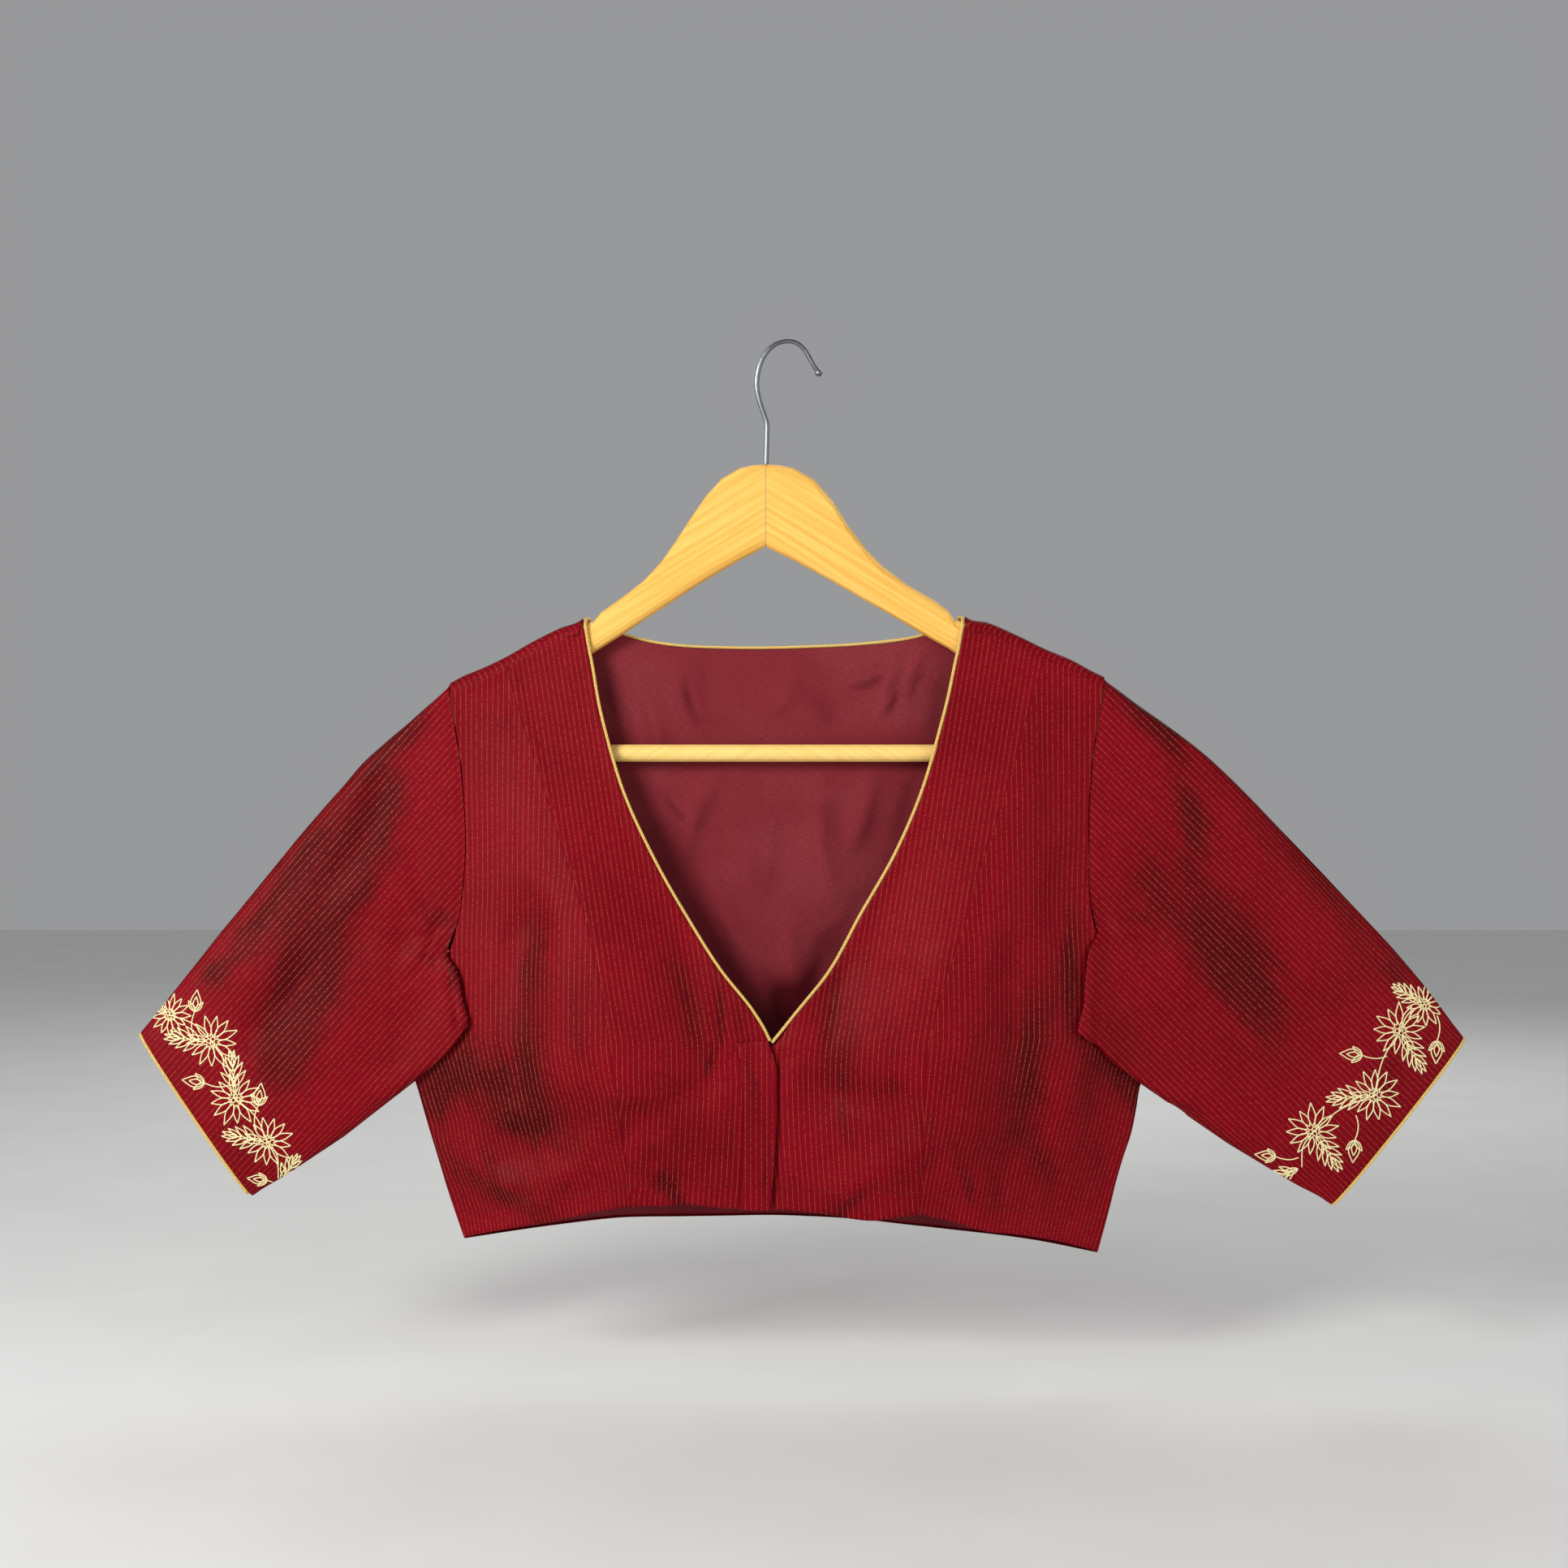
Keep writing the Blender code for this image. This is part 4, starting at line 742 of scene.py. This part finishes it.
def silk_material():
    """Maroon silk with fine gold pinstripes, a slubbed weave, and painted shade where it slopes away and
    along its strokes, with the gold painted stronger there as glints.
    """
    make = Nodes("maroon_pinstripe_silk")
    place = make.cut_place()
    across, along = place
    thread = make.math("DIVIDE", across, STRIPE_PITCH)
    number = make.math("FLOOR", thread)
    off = make.math("ABSOLUTE", make.math("SUBTRACT", make.math("FRACT", thread), 0.5))
    off = make.times(off, STRIPE_PITCH)
    line = make.remap(off, STRIPE_WIDTH / 2 - STRIPE_SOFT, STRIPE_WIDTH / 2 + STRIPE_SOFT, 1.0, 0.0)
    broken = make.remap(make.noise((number, along), (7.31, 0.8), 0.0, 3.0), 0.38, 0.6, 0.15, 1.0)
    slub = make.noise(place, (0.16, 2.4), 0.0, 3.0)
    warp = make.noise(place, (3.6, 0.2), 4.0)
    mottle = make.noise(place, (0.02, 0.02), 9.0, 3.0)
    weave = make.plus(make.times(slub, 0.6), make.times(warp, 0.4))
    fine = make.remap(weave, 0.3, 0.7)
    # Painted shade from the strokes and the slope; lit and deep are a lit and a shaded copy of the silk's
    # colour that it mixes
    dark = painted_shade_share(make, make.noise(place, (0.11, 0.011)), SILK_STREAKS, SILK_RANGE)
    lit = make.blend(fine, (104, 0, 13), (138, 3, 25))
    lit = make.blend(make.remap(mottle, 0.35, 0.65, 0.0, 0.6), lit, (106, 0, 13))
    deep = make.blend(fine, (58, 0, 5), (84, 0, 10))
    # Painted glints: the gold stripes are painted stronger where the shade is painted
    strength = make.remap(dark, 0.0, 1.0, 0.24, 0.4)
    gold = make.times(make.times(line, broken), strength)
    colour = make.blend(gold, make.blend(dark, lit, deep), (216, 118, 70))
    make.bump(make.plus(make.times(gold, 0.5), weave), 0.08)
    return make.set(
        Base_Color=colour, Roughness=make.remap(gold, 0.0, 1.0, 0.55, 0.4),
        Metallic=make.times(gold, 0.4), Specular_IOR_Level=0.06,
    )


def lining_material():
    """Plain rose cotton, faded in places, with painted shade and painted shadows mixed in."""
    make = Nodes("lining_cotton")
    place = make.cut_place()
    fine = make.noise(place, (2.6, 2.6))
    slub = make.noise(place, (0.3, 3.0), 3.0, 3.0)
    fade = make.noise(place, (0.012, 0.018), 6.0, 3.0)
    weave = make.plus(make.times(fine, 0.5), make.times(slub, 0.5))
    colour = make.blend(make.remap(weave, 0.3, 0.7), (106, 32, 40), (138, 57, 62))
    colour = make.blend(make.remap(fade, 0.35, 0.65, 0.0, 0.5), colour, (112, 30, 38))
    # Painted shade and painted shadows from the strokes and the slope, mixed towards a shaded copy of the
    # cotton's colour
    dark = painted_shade_share(make, make.noise(place, (0.03, 0.02)), LINING_STREAKS, LINING_RANGE)
    make.bump(weave, 0.15)
    return make.set(
        Base_Color=make.blend(dark, colour, (60, 10, 16)), Roughness=1.0, Specular_IOR_Level=0.02,
    )


def gold_material(name, bright, deep, metallic):
    """Gold thread: fine slanting strands that catch the light."""
    make = Nodes(name)
    place = make.cut_place()
    strand = make.math("MULTIPLY_ADD", place[0], 0.9, place[1])
    wave = make.math("SINE", make.times(strand, 9.0))
    speck = make.noise(place, (1.5, 0.9), 2.0)
    mixed = make.plus(make.times(wave, 0.3), speck)
    make.bump(wave, 0.05)
    return make.set(
        Base_Color=make.blend(make.remap(mixed, 0.2, 0.8), deep, bright),
        Roughness=make.remap(speck, 0.3, 0.7, 0.32, 0.5), Metallic=metallic,
    )


def thread_material():
    make = Nodes("maroon_sewing_thread")
    colour = make.blend(make.noise(make.cut_place(), (3.0, 1.0)), (96, 6, 18), (150, 30, 42))
    return make.set(Base_Color=colour, Roughness=0.6, Specular_IOR_Level=0.2)


def wood_material(name, pale, deep):
    """Pale varnished wood, its grain along the arms."""
    make = Nodes(name)
    x, y, z = make.part_place()
    beside = make.math("ABSOLUTE", make.plus(x, -ARMS_MEET))
    place = (x, y, make.math("MULTIPLY_ADD", beside, ARM_SLOPE, z))
    grain = make.noise(place, (0.012, 0.2, 0.35), detail=4.0)
    pore = make.noise(place, (0.08, 1.2, 2.2), detail=3.0)
    tone = make.plus(make.times(grain, 0.75), make.times(pore, 0.25))
    make.bump(pore, 0.06)
    return make.set(
        Base_Color=make.blend(make.remap(tone, 0.36, 0.62), pale, deep), Roughness=0.5,
        Specular_IOR_Level=0.3, Coat_Weight=0.08, Coat_Roughness=0.4,
    )


def steel_material():
    make = Nodes("drawn_steel")
    drawn = make.noise(make.part_place(), (3.0, 3.0, 0.3))
    colour = make.blend(drawn, (74, 76, 80), (132, 134, 138))
    return make.set(Base_Color=colour, Roughness=make.remap(drawn, 0.3, 0.7, 0.32, 0.46), Metallic=1.0)


def floor_material():
    make = Nodes("pale_floor")
    grain = make.noise(make.part_place()[:2], (0.01, 0.01))
    tone = make.blend(grain, (226, 226, 224), (236, 236, 234))
    return make.set(Base_Color=tone, Roughness=0.9)


silk = silk_material()
cotton = lining_material()
zari_cord = gold_material("zari_cord", (255, 226, 132), (196, 146, 62), 0.3)
zari_thread = gold_material("zari_thread", (255, 250, 205), (244, 220, 146), 0.05)
sewing_thread = thread_material()
arm_wood = wood_material("pale_varnished_wood", (244, 192, 96), (230, 172, 72))
bar_wood = wood_material("bare_pale_wood", (246, 208, 124), (240, 196, 108))

# The grids that the cloth pieces were made from, by the solid each one replaces
surfaces = {}


def add_panel(name, material, shade_strokes, facing=(0, -1, 0), creases=(), tilt=None):
    """A flat panel's cloth, with its creases pushed in."""
    points, open_cells = whole_grid(name, (0, 0, -1), facing)
    push = crease_push(creases, points[..., 0], -points[..., 2])
    push = push + unevenness(points) * (LINING_UNEVEN if name == "back_lining" else 1)
    points = rolled(points + np.array(facing) * -push[..., None])
    if name.startswith("back"):
        points[0] += unit(points[0] - points[2]) * NECK_REACH
    drop = -points[..., 2]
    across = arc_across(points)
    if tilt:
        across = tilt(across, points[..., 0], drop)
    open_cells = np.pad(open_cells, 1, mode="edge")
    add_shell(name, points, np.stack([across, drop], axis=-1), shade_strokes, material, open_cells)


def side_lean(across, x, drop):
    """A side panel's stripes slant below the bust, more towards the side seam."""
    inner, edge = sorted((x[:, :1], x[:, -1:]), key=lambda end: abs(end[0, 0]))
    share = np.clip((x - inner) / (edge - inner), 0, 1)
    lean = SIDE_LEAN * (SIDE_LEAN_INNER + (1 - SIDE_LEAN_INNER) * share)
    return across + np.sign(x.mean()) * lean * np.maximum(drop - SIDE_LEAN_START, 0)


def centre_tilt(across, x, drop):
    """A centre panel's stripes slant in towards the V, and turn upright near the hem."""
    past = np.maximum(drop - CENTRE_TILT_END + CENTRE_TILT_EASE, 0)
    tilted = np.minimum(drop - past**CENTRE_TILT_POWER / 2, CENTRE_TILT_END)
    return across + np.sign(x.mean()) * CENTRE_TILT * tilted


for side in OUT:
    for part, tilt in (("side", side_lean), ("centre", centre_tilt)):
        add_panel(f"front_{part}_{side}", silk, FRONT_SHADE_STROKES[side], (0, -1, 0), FRONT_CREASES[side], tilt)
add_panel("hook_band", silk, FRONT_SHADE_STROKES["left"])
add_panel("back", silk, BACK_SHADE_STROKES, (0, 1, 0), BACK_CREASES)
add_panel("back_lining", cotton, LINING_SHADE_STROKES, creases=LINING_CREASES)


def eased(points, easing):
    """A closed grid smoothed near one place, along the sleeve or round it."""
    away = np.linalg.norm(points[..., [0, 2]] - (easing.x, easing.z), axis=-1)
    share = np.exp(-((away / easing.reach) ** 2))[..., None] / 2
    for _ in range(easing.rounds):
        beside = points.copy()
        if easing.along_sleeve:
            beside[1:-1] = (points[:-2] + points[2:]) / 2
        else:
            ring = points[:, :-1]
            beside[:, :-1] = (np.roll(ring, 1, axis=1) + np.roll(ring, -1, axis=1)) / 2
            beside[:, -1] = beside[:, 0]
        points = points + (beside - points) * share
    return points


def trued(points, edge):
    """A closed grid with its lower edge pulled onto a line, less so towards the line's ends."""
    edge = np.array(edge)
    ahead = unit(edge[-1] - edge[0])
    down = np.array([ahead[1], -ahead[0]]) * np.sign(ahead[0])
    flat = points[..., [0, 2]]
    deep = flat @ down
    lowest = deep.argmax(axis=1)
    rows = np.arange(len(points))
    at = (flat @ ahead)[rows, lowest]
    marks = edge @ ahead
    miss = np.interp(at, marks, edge @ down) - deep[rows, lowest]
    fade = ramp(at - marks[0], *EDGE_PULL_FADE) * ramp(marks[-1] - at, *EDGE_PULL_FADE)
    pull = np.clip(miss, -EDGE_PULL, EDGE_PULL) * fade
    share = np.exp(-(((deep - deep[rows, lowest][:, None]) / EDGE_PULL_REACH) ** 2))
    return points + (pull[:, None] * share)[..., None] * (down[0], 0, down[1])


def add_sleeve(side):
    """A sleeve's cloth, a closed grid from the cuff to the armhole, its stripes along its top edge."""
    name = f"sleeve_{side}"
    points, _ = whole_grid(name, (-OUT[side], 0, 0))
    normals = normals_of(points, closed=True)
    push = unevenness(points, closed=True)
    for facing, creases in SLEEVE_CREASES[side].items():
        share = np.clip(FACE_SHARPNESS * facing * normals[..., 1], 0, 1)
        push = push + share * crease_push(creases, points[..., 0], -points[..., 2])
    points = points - normals * push[..., None]
    for easing in EASINGS[side]:
        points = eased(points, easing)
    points = rolled(trued(points, LOWER_EDGES[side]), closed=True)
    points[0] += unit(points[1] - points[2]) * CUFF_OUT
    flat = points[..., [0, 2]]
    start, end = (row[np.argmax(row @ (OUT[side], 1.0))] for row in flat[[0, -1]])
    ahead = unit(end - start)
    inward = np.array([-ahead[1], ahead[0]]) * OUT[side]
    across = (flat - start) @ inward
    middle = (across.max(axis=1, keepdims=True) + across.min(axis=1, keepdims=True)) / 2
    deep = np.minimum(np.abs(points[..., 1]), EDGE_DEPTH)
    across = across + np.where(across < middle, deep, 2 * EDGE_DEPTH - deep)
    cut = np.stack([across, flat @ ahead], axis=-1)
    add_shell(name, points, cut, SLEEVE_SHADE_STROKES[side], silk, closed=True)


for side in OUT:
    add_sleeve(side)


def tube_path(name):
    """The middle line of a round cord's solid, as the middles of its rings, and whether it closes."""
    mesh = joined_mesh(name)
    ring_of = {}
    rings = []
    for vertex in mesh.verts:
        if vertex in ring_of:
            continue
        ring = []
        waiting = [vertex]
        while waiting:
            here = waiting.pop()
            if here in ring_of:
                continue
            ring_of[here] = len(rings)
            ring.append(here.co.copy())
            for edge in here.link_edges:
                if edge.calc_length() < RING_EDGE:
                    waiting.append(edge.other_vert(here))
        rings.append(sum(ring, Vector()) / len(ring))
    beside = [set() for _ in rings]
    for edge in mesh.edges:
        first, second = (ring_of[vertex] for vertex in edge.verts)
        if first != second:
            beside[first].add(second)
            beside[second].add(first)
    mesh.free()
    ends = [index for index, near in enumerate(beside) if len(near) == 1]
    order = [ends[0] if ends else 0]
    while True:
        after = [index for index in beside[order[-1]] if index not in order]
        if not after:
            break
        order.append(after[0])
    path = np.array([rings[index] for index in order])
    return (path if ends else np.concatenate([path, path[:1]])), not ends


def lengths_along(path):
    """How far along a path each of its points lies."""
    return np.pad(np.cumsum(np.linalg.norm(np.diff(path, axis=0), axis=1)), (1, 0))


def resampled(path, step):
    """Points step apart on a smooth curve through a path."""
    fine = finer(path[:, None], step, 0)[0][:, 0] if len(path) > 2 else path
    lengths = lengths_along(fine)
    marks = np.linspace(0, lengths[-1], max(2, round(lengths[-1] / step) + 1))
    return np.stack([np.interp(marks, lengths, fine[:, axis]) for axis in range(3)], axis=1), marks


def frames(path, closed):
    """Two directions square to a path at each point, that turn with it without twisting."""
    tangents = unit(np.gradient(path, axis=0))
    if closed:
        tangents[0] = tangents[-1] = unit(path[1] - path[-2])
    first = np.eye(3)[np.argmin(np.abs(tangents[0]))]
    firsts = []
    for tangent in tangents:
        first = unit(first - tangent * (first @ tangent))
        firsts.append(first)
    firsts = np.array(firsts)
    return firsts, np.cross(tangents, firsts)


def add_threads(name, paths, radius, sides, material, bead=0.0):
    """Round threads along paths as one piece, with a soft bead for each stitch."""
    points, faces, places = [], [], []
    around = np.arange(sides + 1)
    angles = 2 * np.pi * around / sides
    for path, closed in paths:
        first, second = frames(path, closed)
        along = lengths_along(path)
        thick = radius * (1 + bead * np.sin(2 * np.pi * along / BEAD_LENGTH))
        turn = angles[:-1, None]
        offsets = first[:, None] * np.cos(turn) + second[:, None] * np.sin(turn)
        numbers = len(points) + np.arange(len(path))[:, None] * sides + around % sides
        points.extend((path[:, None] + offsets * thick[:, None, None]).reshape(-1, 3))
        faces.extend(cells(numbers).reshape(-1, 4).tolist())
        flat = np.stack(np.broadcast_arrays(angles * radius, along[:, None]), axis=-1)
        places.extend(cells(flat).reshape(-1, 2))
        if not closed:
            for end in (numbers[0, -2::-1], numbers[-1, :-1]):
                faces.append(end.tolist())
                places.extend([(0, 0)] * sides)
    return add_mesh(name, points, faces, places, material)


def add_twisted_cord(node):
    """A cord of three strands that replaces a round solid, inside the same thickness."""
    path, closed = tube_path(node)
    if node == "neck_piping_right":
        if path[0, 2] < path[-1, 2]:
            path = path[::-1]
        tip = path[-1] + unit(path[-1] - path[-2]) * CORD_TUCK + (0, CORD_TUCK_DEPTH, 0)
        path = np.concatenate([path, tip[None]])
    centre, marks = resampled(path, CORD_STEP)
    turns = max(1, round(marks[-1] / CORD_PITCH))
    first, second = frames(centre, closed)
    paths = []
    for strand in range(CORD_STRANDS):
        angle = 2 * np.pi * (marks / marks[-1] * turns + strand / CORD_STRANDS)
        offset = first * np.cos(angle)[:, None] + second * np.sin(angle)[:, None]
        paths.append((centre + offset * CORD_OFFSET, closed))
    piece = add_threads(node + "_cord", paths, CORD_STRAND_RADIUS, CORD_SIDES, zari_cord)
    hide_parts(node)
    return piece


# What is sewn to each cloth piece, by the solid that the cloth replaces
trims = {}
for side in OUT:
    trims[f"front_centre_{side}"] = [add_twisted_cord(f"neck_piping_{side}")]
    trims[f"sleeve_{side}"] = [add_twisted_cord(f"cuff_piping_{side}")]
trims["back"] = [add_twisted_cord("neck_piping_back")]

# Where each motif lies on its cuff, how far it is turned and how large it is
Motif = namedtuple("Motif", "kind x drop turn size")
MOTIFS = {
    "left": [Motif(*row) for row in (
        ("flower", -353, 388, 150, 0.8), ("bud", -338, 386, 85, 0.95), ("flower", -328, 403, 175, 1),
        ("bud", -332, 427, 172, 1), ("flower", -314, 436, 95, 1), ("bud", -301, 440, 82, 1),
        ("flower", -296, 461, 170, 0.95), ("bud", -297, 484, 172, 0.85), ("spray", -291, 487, 55, 0.8),
    )],
    "right": [Motif(*row) for row in (
        ("flower", 372, 382, 150, 0.8), ("bud", 379, 403, -95, 1), ("flower", 357, 397, -60, 1),
        ("bud", 335, 411, 175, 1), ("flower", 342, 434, 185, 1), ("bud", 331, 460, -95, 1),
        ("flower", 307, 455, -55, 1), ("bud", 286, 470, 175, 0.9), ("spray", 301, 476, 205, 0.75),
    )],
}
# Petals round a flower's middle, its tail along 0
Petal = namedtuple("Petal", "turn start length width")
PETALS = [Petal(*row) for row in (
    (-152, 2.6, 11, 3.5), (-124, 2.6, 10.4, 3.3), (-97, 2.4, 10, 3.1), (-70, 2.4, 10.4, 3),
    (68, 2.4, 10.2, 3), (96, 2.4, 9.8, 3.1), (123, 2.6, 10.6, 3.3), (151, 2.6, 11.4, 3.5),
    (179, 3, 9, 3), (-42, 2.4, 9, 2.7), (40, 2.4, 9.2, 2.7),
)]
# Pairs of leaves along a flower's tail, and a bud's leaves and stalk
Leaf = namedtuple("Leaf", "out turn length width")
LEAVES = [Leaf(*row) for row in (
    (2.6, 12, 9.5, 2.6), (6, 40, 9.5, 2.4), (9.8, 33, 9, 2.3), (13.2, 24, 8.2, 2.1),
    (15, 8, 8.5, 2),
)]
BUD_LEAVES = [Leaf(*row) for row in (
    (0, 0, 11, 5.4), (1.2, 0, 6.5, 2.6), (0, -38, 6.5, 2.2), (0, 38, 6.5, 2.2),
)]
BUD_STALK = [(0, 0), (-4, 0.9), (-8, 0.8), (-12, -0.6)]


def leaf_outline(length, width):
    """A pointed leaf from the origin along +x, as a closed line, fullest before its middle."""
    share = np.linspace(0, 1, LEAF_POINTS)
    half = width / 2 * np.sin(np.pi * share**LEAF_FULLNESS) ** LEAF_POINTEDNESS
    upper = np.stack([share * length, half], axis=1)
    return np.concatenate([upper, upper[-2::-1] * [1, -1]])


def turned(line, degrees, at=(0, 0)):
    angle = math.radians(degrees)
    turn = np.array([[math.cos(angle), math.sin(angle)], [-math.sin(angle), math.cos(angle)]])
    return np.asarray(line) @ turn + np.array(at)


def motif_lines(kind):
    """The thread lines of a motif in its own plane."""
    found = []
    if kind == "flower":
        for petal in PETALS:
            start = turned([(petal.start, 0)], petal.turn)[0]
            found.append(turned(leaf_outline(petal.length, petal.width), petal.turn, start))
        circle = np.linspace(0, 2 * np.pi, LEAF_POINTS)
        for lobe in LOBES:
            middle = turned([(LOBE_OUT, 0)], lobe)[0]
            found.append(np.stack([np.cos(circle), np.sin(circle)], axis=1) * LOBE_RADIUS + middle)
    if kind in ("flower", "spray"):
        for leaf in LEAVES:
            for sign in (-1, 1):
                outline = leaf_outline(leaf.length, leaf.width)
                found.append(turned(outline, sign * leaf.turn, (leaf.out, 0)))
    if kind == "bud":
        for leaf in BUD_LEAVES:
            found.append(turned(leaf_outline(leaf.length, leaf.width), leaf.turn, (leaf.out, 0)))
        found.append(np.array(BUD_STALK))
    return found


def add_embroidery(side):
    """Flowers, buds and leaves in raised thread round the cuff, on both faces of the sleeve."""
    points = surfaces[f"sleeve_{side}"]
    corners = points.reshape(-1, 3)
    faces = cells(np.arange(len(corners)).reshape(points.shape[:2])).reshape(-1, 4)
    tree = BVHTree.FromPolygons(corners.tolist(), faces.tolist())
    vine = [(motif.x, motif.drop) for motif in MOTIFS[side] if motif.kind != "bud"]
    lines = []
    for motif in MOTIFS[side]:
        for line in motif_lines(motif.kind):
            line = turned(line * motif.size * MOTIF_SCALE, motif.turn)
            lines.append(line * [1, -1] + (motif.x, motif.drop))
    for start, end in zip(vine, vine[1:]):
        middle = (np.array(start) + end) / 2 - (OUT[side] * VINE_BOW[0], VINE_BOW[1])
        lines.append(np.array([start, middle, end]))
    paths = []
    for forward in (-1, 1):
        for line in lines:
            flat = np.stack([line[:, 0], 0 * line[:, 0], -line[:, 1]], axis=1)
            starts = resampled(flat, THREAD_STEP)[0] + (0, forward * RAY_START, 0)
            hits = [tree.ray_cast(Vector(start), Vector((0, -forward, 0)))[0] for start in starts]
            for caught, run in groupby(hits, lambda hit: hit is not None):
                run = list(run)
                if caught and len(run) >= SHORTEST_RUN:
                    paths.append((np.array(run) + (0, forward * THREAD_RAISE, 0), False))
    name = f"cuff_embroidery_{side}"
    piece = add_threads(name, paths, THREAD_RADIUS, THREAD_SIDES, zari_thread, THREAD_BEAD)
    trims[f"sleeve_{side}"].append(piece)


for side in OUT:
    add_embroidery(side)


# Machine stitches: a panel, whether they run along a row (0) or a column (1), and which
STITCH_LINES = [
    ("hook_band", 1, 2), ("hook_band", 1, -3), ("hook_band", 0, 2),
    *[(f"front_{part}_{side}", 0, -8) for side in OUT for part in ("centre", "side")],
    ("back", 0, -8), ("back_lining", 0, -5), ("sleeve_left", 0, 3), ("sleeve_right", 0, 3),
]


def add_stitches(panel, axis, index):
    """A row of short stitches that stand a little out of the cloth."""
    points = surfaces[panel]
    normals = normals_of(points, panel.startswith("sleeve"))
    line = np.take(points + normals * STITCH_RAISE, index, axis=axis)
    line = resampled(line, STITCH_STEP)[0]
    each = round((STITCH_LENGTH + STITCH_GAP) / STITCH_STEP)
    keep = round(STITCH_LENGTH / STITCH_STEP) + 1
    paths = [(line[at:at + keep], False) for at in range(0, len(line) - keep, each)]
    name = f"{panel}_stitches_{axis}_{abs(index)}"
    piece = add_threads(name, paths, STITCH_RADIUS, THREAD_SIDES, sewing_thread)
    trims.setdefault(panel, []).append(piece)


for line in STITCH_LINES:
    add_stitches(*line)

ARMS = ["hanger_arm_left", "hanger_arm_right"]

finishes = {**dict.fromkeys(ARMS, arm_wood), "hanger_bar": bar_wood, "hanger_hook": steel_material()}
for node, finish in finishes.items():
    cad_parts[node].data.materials.clear()
    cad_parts[node].data.materials.append(finish)


def add_stage():
    """The camera, a floor and three soft lights."""
    lens = bpy.data.cameras.new("camera")
    lens.lens = CAMERA_LENS
    lens.sensor_width = CAMERA_FRAME
    camera = add_object("camera", lens, CAMERA_PLACE)
    camera.rotation_euler = (math.radians(90), 0, 0)
    bpy.context.scene.camera = camera

    bpy.ops.mesh.primitive_plane_add(size=FLOOR_SIZE, location=(0, 0, -FLOOR_DROP))
    floor = bpy.context.object
    floor.name = "floor"
    floor.data.materials.append(floor_material())

    bpy.context.scene.view_settings.view_transform = "Standard"
    world = bpy.data.worlds.new("studio")
    world.use_nodes = True
    background = world.node_tree.nodes["Background"].inputs
    background["Color"].default_value = STUDIO_COLOUR
    background["Strength"].default_value = STUDIO_LIGHT
    bpy.context.scene.world = world
    for name, (place, size, power) in LIGHTS.items():
        lamp = bpy.data.lights.new(name, "AREA")
        lamp.size = size
        lamp.energy = power
        aim = (LIGHT_AIM - Vector(place)).to_track_quat("-Z", "Y")
        add_object(name, lamp, place).rotation_euler = aim.to_euler()


add_stage()
